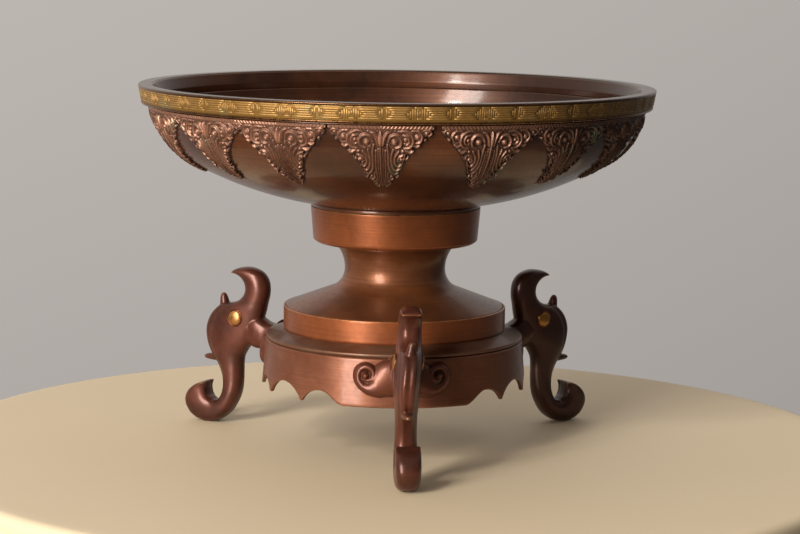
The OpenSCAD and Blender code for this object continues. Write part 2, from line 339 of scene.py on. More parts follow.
def put_piece(name, mesh, body, materials, nodes):
    """Links a finished mesh as a piece that rides on a CAD body and stands for CAD nodes."""
    piece = bpy.data.objects.new(name, mesh)
    bpy.context.scene.collection.objects.link(piece)
    for material in materials:
        mesh.materials.append(material)
    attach(piece, body)
    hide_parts(*nodes)
    return piece


def lathe(profile, steps, poles=False):
    """Surface of revolution: the profile (r, z) turned about Z.
    A closed profile wraps round; with poles, its first and last points lie on the axis.
    Returns points, faces and each point's distance along the profile."""
    a = np.linspace(0, 2 * np.pi, steps, endpoint=False)
    rows = profile[1:-1] if poles else profile
    r, z = rows[:, 0:1], rows[:, 1:2]
    points = np.stack([r * np.cos(a), r * np.sin(a), np.broadcast_to(z, (len(rows), steps))], -1)
    points = points.reshape(-1, 3)
    along = np.concatenate([[0], np.cumsum(np.linalg.norm(np.diff(profile, axis=0), axis=1))])
    faces = [grid_faces(len(rows), steps, not poles, True)]
    if not poles:
        return points, faces, np.repeat(along, steps)
    first, last = len(points), len(points) + 1
    points = np.concatenate([points, [[0, 0, profile[0, 1]], [0, 0, profile[-1, 1]]]])
    ring = np.arange(steps)
    faces.append(fan(ring[::-1], first))
    faces.append(fan(ring + (len(rows) - 1) * steps, last))
    return points, faces, np.concatenate([np.repeat(along[1:-1], steps), [along[0], along[-1]]])


def turned_piece(name, profile, body, materials, nodes, poles=False, steps=256, second=None):
    """A lathe piece with its turning-line and edge attributes. second picks the stretches of the
    profile that take the second material, by their radius and height."""
    profile = densify(profile, step=1.2, closed=not poles)
    points, faces, along = lathe(profile, steps, poles)
    mesh = make_mesh(name, points, faces)
    write_values(mesh, "sweep", along)
    mark_edges(mesh, 2)
    piece = put_piece(name, mesh, body, materials, nodes)
    if second is not None:
        middle = (profile + np.roll(profile, -1, 0)) / 2
        chosen = second(middle[:, 0], middle[:, 1]).astype(np.int32)
        mesh.polygons.foreach_set("material_index", np.repeat(chosen, steps))
    return piece


def remeshed(name, points, faces, voxel, rounds):
    """Closed shells fused into one skin by voxels of the given size in mm, then smoothed."""
    rough = make_mesh(name, points, faces)
    carrier = bpy.data.objects.new(name, rough)
    bpy.context.scene.collection.objects.link(carrier)
    fuse = carrier.modifiers.new("Fuse", "REMESH")
    fuse.mode = "VOXEL"
    fuse.voxel_size = voxel * MM
    soften = carrier.modifiers.new("Soften", "SMOOTH")
    soften.factor = 0.5
    soften.iterations = rounds
    graph = bpy.context.evaluated_depsgraph_get()
    done = bpy.data.meshes.new_from_object(carrier.evaluated_get(graph))
    bpy.data.objects.remove(carrier)
    bpy.data.meshes.remove(rough)
    fused = read_points(done)
    quads = np.zeros(len(done.loops), np.int32)
    done.loops.foreach_get("vertex_index", quads)
    sizes = np.zeros(len(done.polygons), np.int32)
    done.polygons.foreach_get("loop_total", sizes)
    bpy.data.meshes.remove(done)
    if sizes.min() != 4 or sizes.max() != 4:
        raise ValueError(f"{name}: the fused skin isn't all quads")
    return fused, [quads.reshape(-1, 4)]


def joined(shells):
    """One list of points and faces from several (points, faces) shells."""
    points = np.concatenate([shell[0] for shell in shells])
    starts = np.cumsum([0] + [len(shell[0]) for shell in shells[:-1]])
    faces = [group + start for shell, start in zip(shells, starts) for group in shell[1]]
    return points, faces


# ---------------------------------------------------------------- materials


def connect(tree, node, inputs):
    """Gives a node its inputs, by name or in order: a socket is linked and a value is set."""
    for key, source in inputs.items() if isinstance(inputs, dict) else enumerate(inputs):
        if isinstance(source, bpy.types.NodeSocket):
            tree.links.new(source, node.inputs[key])
        else:
            node.inputs[key].default_value = source


def add(tree, kind, inputs, out=0, **settings):
    """Adds one node with its inputs and settings, and returns the output that out picks."""
    made = tree.nodes.new(kind)
    for key, value in settings.items():
        setattr(made, key, value)
    connect(tree, made, inputs)
    return made.outputs[out]


def opaque(colour):
    """A linear colour with full alpha; a socket stays as it is."""
    return colour if isinstance(colour, bpy.types.NodeSocket) else (*colour, 1.0)


def darker(colour, share):
    """A colour with each channel cut down to a share."""
    return tuple(share * channel for channel in colour)


def start_finish(name, *clouds):
    """New material. Returns it with its tree, its shader and a list of sockets: the Object
    coordinates, then one noise for each row of clouds (size in mm, detail, roughness)."""
    made = bpy.data.materials.new(name)
    made.use_nodes = True
    tree = made.node_tree
    sockets = [add(tree, "ShaderNodeTexCoord", (), out="Object")]
    for size, detail, rough in clouds:
        inputs = {"Vector": sockets[0], "Scale": 1 / (size * MM), "Detail": detail, "Roughness": rough}
        sockets.append(add(tree, "ShaderNodeTexNoise", inputs))
    return made, tree, tree.nodes["Principled BSDF"], sockets


def lay(tree, base, colour, *masks):
    """Lays a colour over base as far as the product of its masks lets it through. A mask is a
    socket, the two values between which it counts, and the shares that it gives there."""
    share, *others = (add(tree, "ShaderNodeMapRange", mask) for mask in masks)
    for other in others:
        share = add(tree, "ShaderNodeMath", (share, other), operation="MULTIPLY")
    inputs = {0: share, 6: opaque(base), 7: opaque(colour)}
    return add(tree, "ShaderNodeMix", inputs, out=2, data_type="RGBA")


def painted_shade_right(tree, where):
    """Mask of painted shade, which darkens the side away from the key lamp: none on the left half,
    rising towards the right side, with a ragged border 4 cm wide."""
    inputs = {"Vector": where, "Scale": 1 / (45.0 * MM), "Detail": 3.0, "Roughness": 0.55}
    ragged = add(tree, "ShaderNodeTexNoise", inputs)
    ragged = add(tree, "ShaderNodeMapRange", (ragged, 0.3, 0.7, -0.02, 0.02))
    across = add(tree, "ShaderNodeSeparateXYZ", (where,), out="X")
    across = add(tree, "ShaderNodeMath", (across, ragged), operation="ADD")
    return across, 0.0, 0.1, 0.0, 0.8


def bronze(name, tone, dark, worn, roughness, metallic, clouds=34.0, rub=1.0, turning=0.0,
           wax=0.2):
    """Cast bronze with a brown patina; tone, dark and worn name its colours.
    Clouds of a darker brown drift over it, convex edges are rubbed to the bare alloy, recesses turn
    much darker and keep a few green specks, the right side is painted darker as painted shade, and
    turning leaves fine rings on lathe work."""
    paint = bpy.context.scene.finish_colours
    tone, dark, worn = (getattr(paint, key) for key in (tone, dark, worn))
    # The grain of the casting is 0.8 mm where the real one is finer, so that it shows
    made, tree, shader, (where, drift, speck, bloom, grain) = start_finish(
        name, (clouds, 5.0, 0.6), (3.5, 4.0, 0.65), (9.0, 3.0, 0.55), (0.8, 2.0, 0.55)
    )
    edge = add(tree, "ShaderNodeAttribute", (), out="Fac", attribute_name="edge")
    base = lay(tree, dark, tone, (drift, 0.34, 0.6, 0.0, 1.0))
    # Mottling of a few millimetres, as left by the hot patination
    base = lay(tree, base, dark, (speck, 0.42, 0.72, 0.0, 0.25))
    bump = {"Height": grain, "Strength": 1.0, "Distance": 0.012 * MM}
    normal = add(tree, "ShaderNodeBump", bump)
    if turning:
        sweep = add(tree, "ShaderNodeAttribute", (), out="Fac", attribute_name="sweep")
        # Streaks along the turning, a few millimetres apart
        inputs = {"W": sweep, "Scale": 0.7, "Detail": 4.0}
        streaks = add(tree, "ShaderNodeTexNoise", inputs, noise_dimensions="1D")
        base = lay(tree, base, dark, (streaks, 0.4, 0.7, 0.0, 0.5))
        # Tool rings about 1 mm apart, coarser than the real ones so that they show
        inputs = {"W": sweep, "Scale": 0.9, "Detail": 3.0}
        rings = add(tree, "ShaderNodeTexNoise", inputs, noise_dimensions="1D")
        bump.update({"Height": rings, "Distance": turning * MM, "Normal": normal})
        normal = add(tree, "ShaderNodeBump", bump)
    # Painted shade: the right side, away from the key lamp, turns darker
    base = lay(tree, base, darker(dark, 0.4), painted_shade_right(tree, where))
    base = lay(tree, base, worn, (edge, 0.25, 1.1, 0.0, rub), (speck, 0.3, 0.55, 0.0, 1.0))
    recess = (edge, -0.9, -0.2, 0.75, 0.0)
    base = lay(tree, base, darker(dark, 0.35), recess)
    base = lay(tree, base, paint.verdigris, (bloom, 0.6, 0.72, 0.0, 1.0), recess)
    uneven = (speck, 0.3, 0.7, roughness - 0.04, roughness + 0.07)
    connect(tree, shader, {
        "Base Color": base, "Metallic": metallic, "Normal": normal,
        "Roughness": add(tree, "ShaderNodeMapRange", uneven),
        # A thin wax coat gives the white highlights above the patina
        "Coat Weight": wax, "Coat Roughness": 0.13, "Specular IOR Level": 0.35,
    })
    return made


def bowl_patina():
    """Hot-patinated turned bronze: satin red-brown, soft clouds, faint tool rings."""
    return bronze("hot_patinated_bowl_bronze", "bowl", "bowl_dark", "gilt", 0.36, 0.5,
                  clouds=60.0, rub=0.5, turning=0.012, wax=0.5)


def rim_finish():
    """Rubbed bronze: the patina is polished to grey-brown by hands, and the edges glint."""
    return bronze("hand_rubbed_rim_bronze", "rim", "bowl_dark", "gilt", 0.26, 0.85,
                  rub=0.8, turning=0.008)


def collar_finish():
    """Bright coppery bronze straight from the lathe, thinly lacquered, with clear tool rings."""
    return bronze("turned_copper_bronze", "collar", "collar_dark", "gilt", 0.36, 0.55,
                  clouds=22.0, rub=0.6, turning=0.03)


def column_finish():
    """Turned bronze under a darker brown patina, rubbed to copper on its edges."""
    return bronze("dark_patinated_column_bronze", "column", "column_dark", "collar", 0.36, 0.5,
                  clouds=28.0, rub=0.5, turning=0.02)


def ledge_finish():
    """Dull grey-brown patina where dust and water stand on the ledge."""
    return bronze("dulled_ledge_bronze", "ledge", "column_dark", "apron", 0.44, 0.5,
                  clouds=18.0, turning=0.015)


def apron_finish():
    """Cast and filed bronze with a thin pinkish copper patina."""
    return bronze("filed_copper_bronze", "apron", "apron_dark", "gilt", 0.42, 0.5,
                  clouds=26.0, rub=0.4, turning=0.015)


def leg_finish():
    """Lost-wax cast bronze, burnished satin red-brown, rubbed to gold on its edges."""
    return bronze("burnished_cast_bronze", "leg", "leg_dark", "gilt", 0.34, 0.45,
                  clouds=16.0, rub=0.6)


def volute_finish():
    """Cast bronze, red-brown like the legs, rubbed to pinkish copper on the tops of its coils."""
    return bronze("cast_copper_bronze", "leg", "apron_dark", "apron", 0.36, 0.45,
                  clouds=16.0, rub=0.3)


def gilt_finish():
    """Fire gilding over a cast dome: bright gold with a few brown pits, in a bare socket ring."""
    paint = bpy.context.scene.finish_colours
    made, tree, shader, (where, pits) = start_finish("fire_gilt_bronze", (1.6, 3.0, 0.55))
    gilded = add(tree, "ShaderNodeAttribute", (), out="Fac", attribute_name="gilt")
    base = lay(tree, paint.gilt, paint.fret_dark, (pits, 0.5, 0.7, 0.0, 0.7))
    # Painted shade: on the right side the gold is darkened towards brown
    base = lay(tree, base, paint.fret_dark, painted_shade_right(tree, where))
    base = lay(tree, base, paint.leg, (gilded, 0.0, 1.0, 1.0, 0.0))
    bump = {"Height": pits, "Strength": 1.0, "Distance": 0.05 * MM}
    connect(tree, shader, {
        "Base Color": base, "Metallic": 0.9, "Normal": add(tree, "ShaderNodeBump", bump),
        "Roughness": add(tree, "ShaderNodeMapRange", (pits, 0.3, 0.7, 0.24, 0.4)),
    })
    return made


def lappet_finish():
    """Cast relief: dark brown in the recesses, rubbed pink copper to brass on the tops."""
    paint = bpy.context.scene.finish_colours
    made, tree, shader, (where, speck, bloom, grain) = start_finish(
        "cast_relief_bronze", (2.4, 4.0, 0.65), (22.0, 3.0, 0.55), (0.7, 2.0, 0.55)
    )
    height = add(tree, "ShaderNodeAttribute", (), out="Fac", attribute_name="relief")
    edge = add(tree, "ShaderNodeAttribute", (), out="Fac", attribute_name="edge")
    base = lay(tree, paint.lappet_dark, paint.lappet, (height, 0.25, 0.8, 0.0, 1.0))
    base = lay(tree, base, paint.bowl_dark, (speck, 0.45, 0.75, 0.0, 0.4))
    # Painted shade: the lappets on the right side are darkened
    base = lay(tree, base, paint.lappet_dark, painted_shade_right(tree, where))
    base = lay(tree, base, paint.gilt, (edge, 0.15, 0.9, 0.0, 0.6), (height, 0.45, 0.8, 0.0, 1.0),
               (speck, 0.35, 0.6, 0.0, 1.0))
    recess = (edge, -1.1, -0.15, 0.85, 0.0)
    base = lay(tree, base, darker(paint.lappet_dark, 0.3), recess)
    base = lay(tree, base, paint.verdigris, (bloom, 0.6, 0.7, 0.0, 0.7), recess)
    bump = {"Height": grain, "Strength": 1.0, "Distance": 0.02 * MM}
    connect(tree, shader, {
        "Base Color": base, "Metallic": 0.45, "Normal": add(tree, "ShaderNodeBump", bump),
        "Roughness": add(tree, "ShaderNodeMapRange", (speck, 0.3, 0.7, 0.33, 0.48)),
    })
    return made


def fret_finish(name, tone, roughness):
    """Fret metal: parcel-gilt lines, or the brown patinated ground between them.
    Wide clouds let the gold turn greenish and brown in places."""
    paint = bpy.context.scene.finish_colours
    made, tree, shader, (where, drift, speck, bloom) = start_finish(
        name, (40.0, 4.0, 0.55), (2.2, 3.0, 0.55), (26.0, 4.0, 0.55)
    )
    base = lay(tree, tone, paint.fret_dark, (drift, 0.45, 0.7, 0.0, 0.65))
    base = lay(tree, base, paint.fret_dark, (speck, 0.5, 0.72, 0.0, 0.5))
    base = lay(tree, base, paint.verdigris, (bloom, 0.6, 0.74, 0.0, 0.45))
    # Painted shade: the fret on the right side is darkened
    base = lay(tree, base, darker(paint.fret_dark, 0.5), painted_shade_right(tree, where))
    bump = {"Height": speck, "Strength": 1.0, "Distance": 0.02 * MM}
    connect(tree, shader, {
        "Base Color": base, "Metallic": 0.6, "Roughness": roughness,
        "Normal": add(tree, "ShaderNodeBump", bump),
    })
    return made


def floor_finish():
    """Limewashed table board: pale, matt, with a barely uneven tone."""
    paint = bpy.context.scene.finish_colours
    made, tree, shader, (_, drift) = start_finish("pale_limewash", (120.0, 4.0, 0.55))
    base = lay(tree, darker(paint.floor, 0.94), paint.floor, (drift, 0.0, 1.0, 0.0, 1.0))
    connect(tree, shader, {"Base Color": base, "Roughness": 0.62})
    return made


# ---------------------------------------------------------------- basin


def bowl_side(shift):
    """Outside of the basin shifted outwards by shift mm, from the foot face up under the rim.
    A wide underside arc runs tangent into a tighter shoulder arc: their centres lie on one line
    with the point where they meet."""
    size = bpy.context.scene.basin_sizes
    foot = np.array([size.foot_radius / MM, foot_of("basin_bowl")])
    centre = np.array([size.shoulder_out, size.shoulder_up]) / MM
    shoulder, under = size.shoulder_radius / MM, size.under_radius / MM
    reach = under - shoulder
    lean = centre - foot
    total = (under**2 - lean @ lean - reach**2) / (2 * reach)
    meet = math.acos(total / np.linalg.norm(lean)) - math.atan2(lean[0], lean[1])
    under_centre = centre + reach * np.array([-math.sin(meet), math.cos(meet)])
    first = math.degrees(math.asin((foot[0] - under_centre[0]) / under))
    last = math.degrees(math.acos((centre[1] - top_of("basin_bowl")) / (shoulder + shift)))
    meet = math.degrees(meet)
    low = arc(under_centre, under + shift, first, meet, steps=60)
    high = arc(centre, shoulder + shift, meet, last, steps=50)
    return np.concatenate([low, high[1:]])


def rim_side(z):
    """Radius of the rim's outside at height z: it leans out towards the top."""
    lean = bpy.context.scene.basin_sizes.lean / MM
    top, foot = top_of("rim_ring"), foot_of("rim_ring")
    return radius_of("rim_ring") - lean * (top - z) / (top - foot)


class FLOWERBASIN_OT_bowl(bpy.types.Operator):
    """Turned bowl with a flat floor"""

    bl_idname = "flowerbasin.bowl"
    bl_label = "Basin bowl"

    def execute(self, context):
        outer = bowl_side(0.0)
        inner = bowl_side(-context.scene.basin_sizes.wall / MM)
        floor_z = inner[0, 1]
        # The inside turns into the floor over an eased corner of this radius
        ease = 40.0
        corner = arc((inner[0, 0] - 6, floor_z + ease), ease, 0, 8.6, 8)
        profile = np.concatenate([
            [[0, outer[0, 1]]], outer, inner[::-1][:-4], corner[::-1][:4],
            [[ease, floor_z], [0, floor_z]],
        ])
        turned_piece("bowl_shell", profile, "basin", [bowl_patina()],
                     ["basin_bowl"], poles=True, steps=272)
        return {"FINISHED"}


class FLOWERBASIN_OT_rim(bpy.types.Operator):
    """Thick rim with a flat top and a groove round its outside"""

    bl_idname = "flowerbasin.rim"
    bl_label = "Rim ring"

    def execute(self, context):
        low, high = foot_of("rim_ring"), top_of("rim_ring")
        groove_low, groove_high = foot_of("fret_band"), top_of("fret_band")
        depth = context.scene.basin_sizes.groove / MM
        inner = bowl_side(-context.scene.basin_sizes.wall / MM)[-1, 0]
        out = radius_of("rim_ring")
        profile = rounded([
            (inner, low, 0), (rim_side(low), low, 0.5),
            (rim_side(groove_low), groove_low, 0.2), (rim_side(groove_low) - depth, groove_low, 0),
            (rim_side(groove_high) - depth, groove_high, 0), (rim_side(groove_high), groove_high, 0.2),
            (rim_side(high - 0.6), high - 0.6, 0.4), (out - 0.7, high, 0.5),
            (out - 7.4, high, 0.8), (out - 8.6, high - 0.9, 1.2), (inner, high - 7, 4),
        ])
        turned_piece("rim_moulding", profile, "basin", [rim_finish(), bowl_patina()],
                     ["rim_ring"], steps=320, second=lambda r, z: (r < out - 8) & (z < high - 0.5))
        return {"FINISHED"}


# The fret is drawn on squares: a unit is one short and two long keys and the square after them
FRET_ROWS = 7
FRET_REPEATS = 26
LONG_KEY = 12
SHORT_KEY = 4
FRET_COLUMNS = SHORT_KEY + 2 * LONG_KEY + 1
# Depth of the fret's ground below the rim's face, in mm
FRET_GROUND = 0.24


def key_bars(first, width, mirror):
    """Bars of one rectangular spiral, as (x0, y0, x1, y1) between its corners.
    It starts up the left side and winds inwards, each turn one line inside the last."""
    spots = [(0, 0)]
    left, right, low, high = 0, width - 1, 0, FRET_ROWS - 1
    while left < right and low < high:
        spots += [(left, high), (right, high), (right, low + 1)]
        left, low = left + 1, low + 1
        if left >= right or low >= high:
            break
        spots.append((left, low))
        right, high = right - 1, high - 1
    flip = (lambda v: width - 1 - v) if mirror else (lambda v: v)
    spots = [(first + flip(x), y) for x, y in spots]
    return [(*a, *b) for a, b in zip(spots, spots[1:])]


class FLOWERBASIN_OT_fret(bpy.types.Operator):
    """Band of raised key fret lying in the rim's groove"""

    bl_idname = "flowerbasin.fret"
    bl_label = "Fret band"

    def execute(self, context):
        low, high = foot_of("fret_band"), top_of("fret_band")
        depth = context.scene.basin_sizes.groove / MM
        ground = np.array([
            (rim_side(low) - depth, low), (rim_side(low) - FRET_GROUND, low),
            (rim_side(high) - FRET_GROUND, high), (rim_side(high) - depth, high),
        ])
        ring_points, ring_faces, _ = lathe(densify(ground, step=1.5, closed=True), steps=360)
        bars = np.array(
            key_bars(0, SHORT_KEY, False)
            + key_bars(SHORT_KEY, LONG_KEY, False)
            + key_bars(SHORT_KEY + LONG_KEY + 1, LONG_KEY, True),
            float,
        )
        shells = [(ring_points, ring_faces), self.bar_shells(bars, low, high)]
        mesh = make_mesh("key_fret", *joined(shells))
        paint = context.scene.finish_colours
        of_bar = np.zeros(len(mesh.polygons), np.int32)
        of_bar[len(ring_faces[0]):] = 1
        ground_metal = fret_finish("patinated_fret_ground", paint.fret_dark, 0.45)
        line_metal = fret_finish("parcel_gilt_fret", paint.fret, 0.48)
        put_piece("key_fret", mesh, "basin", [ground_metal, line_metal], ["fret_band"])
        mesh.polygons.foreach_set("material_index", of_bar)
        return {"FINISHED"}

    def bar_shells(self, bars, low, high):
        """Each bar is a low ridge bent round the rim: five stations along it, and at each a base
        edge, two top edges and a base edge again. The top is narrower than the base."""
        pitch = (high - low) / FRET_ROWS
        x0, x1 = np.minimum(bars[:, 0], bars[:, 2]), np.maximum(bars[:, 0], bars[:, 2])
        y0, y1 = np.minimum(bars[:, 1], bars[:, 3]), np.maximum(bars[:, 1], bars[:, 3])
        level = y0 == y1
        half, least = 0.38, 0.05
        # Upright bars stop at the level ones, so that no two tops lie over each other
        x0, x1 = x0 - half, x1 + half
        y0, y1 = np.where(level, y0 - half, y0 + half), np.where(level, y1 + half, y1 - half)
        start = np.repeat(np.arange(FRET_REPEATS) * FRET_COLUMNS, len(bars))
        x0, x1, y0, y1 = (np.tile(v, FRET_REPEATS) for v in (x0, x1, y0, y1))
        keep = (y1 - y0 > least) & (x1 - x0 > least)
        x0, x1, y0, y1, start = (v[keep][:, None, None] for v in (x0, x1, y0, y1, start))
        stations, corners = 5, 4
        along = np.linspace(0, 1, stations)[:, None]
        ends = np.array([1.0, 0.0, 0.0, 0.0, -1.0])[:, None]
        taper = np.array([0.0, 0.08, 0.08, 0.0])
        side = np.array([0.0, 0.0, 1.0, 1.0])
        inwards = np.array([1.0, 1.0, -1.0, -1.0])
        rise = np.array([FRET_GROUND + 0.1, 0.06, 0.06, FRET_GROUND + 0.1])
        x = x0 + (x1 - x0) * along + taper * ends
        y = np.broadcast_to(y0 + (y1 - y0) * side + taper * inwards, x.shape)
        z = low + (y + 0.5) * pitch
        a = 2 * np.pi * (x + start) / (FRET_REPEATS * FRET_COLUMNS)
        r = rim_side(z) - rise
        points = np.stack([r * np.sin(a), -r * np.cos(a), z], -1).reshape(-1, 3)
        last = (stations - 1) * corners
        quads = np.concatenate([
            grid_faces(stations, corners, False, True)[:, ::-1],
            [[0, 1, 2, 3], [last + 3, last + 2, last + 1, last]],
        ])
        starts = np.arange(len(keep.nonzero()[0]))[:, None, None] * stations * corners
        return points, [(quads[None] + starts).reshape(-1, 4)]


class FLOWERBASIN_OT_foot(bpy.types.Operator):
    """Spigot ring under the bowl, with a small moulding above the seam"""

    bl_idname = "flowerbasin.foot"
    bl_label = "Foot ring"

    def execute(self, context):
        low, high = foot_of("foot_ring"), top_of("foot_ring")
        seam = top_of("collar_cup")
        out, bore = radius_of("foot_ring"), BASIN_SPIGOT - 7
        profile = rounded([
            (bore, low, 0.4), (BASIN_SPIGOT - 0.7, low, 0), (BASIN_SPIGOT, low + 1, 0),
            (BASIN_SPIGOT, seam, 0), (out, seam, 0.5), (out, high, 0), (bore, high, 0),
        ])
        turned_piece("foot_spigot", profile, "basin", [bowl_patina()], ["foot_ring"])
        return {"FINISHED"}


# Heights in mm: the ground that the scrolls stand on, the tallest scroll, and where nothing stands
LAPPET_GROUND = 1.0
LAPPET_TALLEST = 2.6
BARE = -9.0


def stroke(x, s, line, steps=44):
    """Raised scroll line: its height over a point is that of the tallest of the half balls rolled
    along the line, whose radii taper at both ends. Also returns how far the point is outside it.
    line has rows of sideways, down, half width and height."""
    path = smooth_curve(line, steps)
    taper = np.sin(np.pi * np.linspace(0.1, 0.9, steps)) ** 0.5
    thinnest = 0.15
    half = np.maximum(path[:, 2] * taper, thinnest)
    far = np.hypot(x[..., None] - path[:, 0], s[..., None] - path[:, 1])
    dome = np.sqrt(np.clip(1 - (far / half) ** 2, 0, 1))
    height = np.where(far < half, LAPPET_GROUND + (path[:, 3] - LAPPET_GROUND) * dome, BARE)
    return height.max(-1), (far - half).min(-1)


def bead(x, s, cx, cy, radius, lift):
    """Round bead in the middle of a scroll: its height over a point, and how far outside it that is."""
    far = np.hypot(x - cx, s - cy)
    dome = np.sqrt(np.clip(1 - (far / radius) ** 2, 0, 1))
    return np.where(far < radius, LAPPET_GROUND + (lift - LAPPET_GROUND) * dome, BARE), far - radius


# Half width of a lappet at distances down from its top, in mm
LAPPET_EDGE = (
    (0.0, 28.2), (4.0, 27.2), (8.5, 22.6), (12.6, 18.4), (17.0, 14.7), (22.5, 11.2), (28.0, 8.5),
    (34.0, 6.4), (39.0, 4.4), (44.0, 2.0), (46.8, 0.6),
)
# Scroll lines of one half of a lappet: rows of sideways, down, half width and height, all in mm
STROKES = (
    # The stem's ribs
    ((0, 11, 0.5, 2.4), (0, 25, 0.5, 2.3), (0, 46, 0.3, 1.9)),
    ((1.2, 13, 0.4, 2.2), (1.3, 24, 0.4, 2.1), (0.9, 36, 0.35, 1.9), (0.3, 45, 0.2, 1.6)),
    ((2.5, 14, 0.45, 2.2), (2.5, 24, 0.45, 2.1), (1.8, 35, 0.4, 1.9), (0.8, 44, 0.3, 1.6)),
    # The bud over the stem
    ((0, 11.5, 0.9, 2.4), (0, 7.4, 1.1, 2.6), (0, 3.4, 0.5, 2.1)),
    ((1.2, 11.2, 0.5, 2.2), (2.0, 7.2, 0.7, 2.3), (3.4, 4.2, 0.6, 2.1), (5.2, 3.6, 0.4, 1.9)),
    # The large scroll, drawn out along the stem
    ((3.6, 10.6, 0.5, 2.2), (4.1, 16, 0.6, 2.1), (4.0, 22, 0.6, 2.0), (4.7, 27, 0.6, 1.9),
     (6.6, 29.8, 0.5, 1.8), (9.0, 28.6, 0.4, 1.7)),
    ((6.6, 13.4, 0.5, 2.1), (5.6, 17.4, 0.6, 2.1), (5.7, 22.6, 0.6, 2.0), (7.2, 26.6, 0.6, 1.9),
     (9.6, 25.8, 0.5, 1.8), (10.9, 23.0, 0.4, 1.7)),
    ((9.4, 14.4, 0.5, 2.1), (7.5, 17.6, 0.6, 2.1), (7.4, 21.6, 0.6, 2.0), (8.9, 24.0, 0.6, 1.9),
     (10.9, 22.0, 0.5, 1.8), (11.8, 19.0, 0.4, 1.8)),
    ((11.6, 16.6, 0.5, 2.0), (9.6, 17.8, 0.5, 2.0), (9.0, 20.2, 0.5, 2.0), (10.3, 21.2, 0.4, 1.9)),
    # Scrolls towards the top corner
    ((3.9, 9.0, 0.4, 2.1), (5.4, 5.8, 0.6, 2.2), (8.8, 5.0, 0.7, 2.2), (11.0, 7.6, 0.7, 2.2),
     (10.4, 11.0, 0.6, 2.1), (7.8, 12.4, 0.5, 2.0)),
    ((9.4, 3.2, 0.4, 2.0), (13.0, 2.9, 0.6, 2.1), (16.4, 4.8, 0.7, 2.1), (17.2, 8.4, 0.7, 2.1),
     (15.4, 11.6, 0.6, 2.0), (12.4, 12.6, 0.5, 1.9)),
    ((12.0, 5.2, 0.4, 2.0), (14.4, 5.6, 0.6, 2.1), (15.2, 8.2, 0.6, 2.1), (13.8, 10.2, 0.5, 2.0),
     (12.4, 9.6, 0.4, 1.9)),
    ((16.6, 2.8, 0.4, 1.9), (20.2, 3.0, 0.6, 2.0), (22.0, 5.6, 0.6, 2.0), (20.6, 8.8, 0.6, 1.9),
     (18.6, 9.4, 0.4, 1.8)),
    ((22.4, 2.6, 0.4, 1.8), (25.4, 2.3, 0.5, 1.9), (26.8, 3.8, 0.5, 1.8), (25.0, 5.8, 0.4, 1.7)),
    # Small leaves along the edge
    ((20.6, 10.4, 0.5, 1.8), (18.6, 11.4, 0.7, 1.9), (17.0, 10.4, 0.4, 1.8)),
    ((17.4, 13.6, 0.5, 1.8), (15.4, 14.8, 0.8, 1.9), (13.2, 13.8, 0.4, 1.8)),
    ((14.4, 17.8, 0.5, 1.7), (13.0, 18.8, 0.7, 1.8), (12.4, 16.6, 0.4, 1.7)),
    ((9.0, 31.2, 0.5, 1.6), (7.8, 32.6, 0.7, 1.7), (6.8, 31.0, 0.4, 1.6)),
    # The small scrolls towards the tip
    ((3.5, 29.0, 0.4, 1.9), (3.3, 32.4, 0.6, 1.8), (4.6, 34.8, 0.6, 1.8), (6.3, 33.8, 0.5, 1.7)),
    ((2.6, 34.8, 0.4, 1.8), (2.4, 38.4, 0.5, 1.7), (3.6, 40.4, 0.5, 1.7), (4.9, 38.6, 0.4, 1.6)),
    ((1.4, 41.4, 0.4, 1.6), (1.8, 43.8, 0.5, 1.6), (3.0, 42.4, 0.4, 1.5)),
)
# Beads: sideways, down, radius, height
BEADS = (
    (7.3, 9.0, 1.4, 2.5), (13.3, 7.8, 0.9, 2.3), (19.4, 6.1, 1.3, 2.2), (24.3, 4.1, 0.9, 1.9),
    (10.7, 19.2, 1.0, 2.2), (5.3, 32.2, 0.9, 1.9), (3.8, 37.2, 0.8, 1.8), (11.6, 14.4, 0.8, 1.9),
    (23.4, 7.6, 0.9, 1.7), (2.6, 42.8, 0.6, 1.5),
)


def lappet_half(s):
    """Half width of a lappet at s mm below its top: broad under the rim, drawn in to a tip."""
    down, half = np.array(LAPPET_EDGE).T
    return np.interp(s, down, half)


def lappet_relief(x, s):
    """Height of the cast relief at x mm sideways and s mm down, mirrored about the stem.
    On a ground with a lobed outline stand the tapered scroll lines and beads; the tallest wins."""
    far = np.abs(x)
    marks = [stroke(far, s, line) for line in STROKES] + [bead(far, s, *one) for one in BEADS]
    tallest = np.max([height for height, _ in marks], axis=0)
    nearest = np.min([gap for _, gap in marks], axis=0)
    # Between the lines the ground is combed with fine ridges that run along them
    ridge, pitch = 0.22, 1.25
    combed = LAPPET_GROUND + ridge * np.cos(2 * np.pi * nearest / pitch)
    lobes = 0.8 * np.sin(2 * np.pi * s / 4.6 + 1.0) * step_up(s, 4, 8)
    inside = lappet_half(s) - 0.9 - far + lobes
    combed = np.where(inside > -0.2, combed * step_up(inside, -0.2, 0.7), BARE)
    tallest = np.maximum(tallest, combed)
    # A rope of beads joins the lappets under the rim
    rope = 1.35 + 0.45 * np.abs(np.sin(np.pi * (far / 2.0 + 0.35 * s)))
    return np.maximum(tallest, rope * (1 - step_up(s, 1.8, 2.4)))


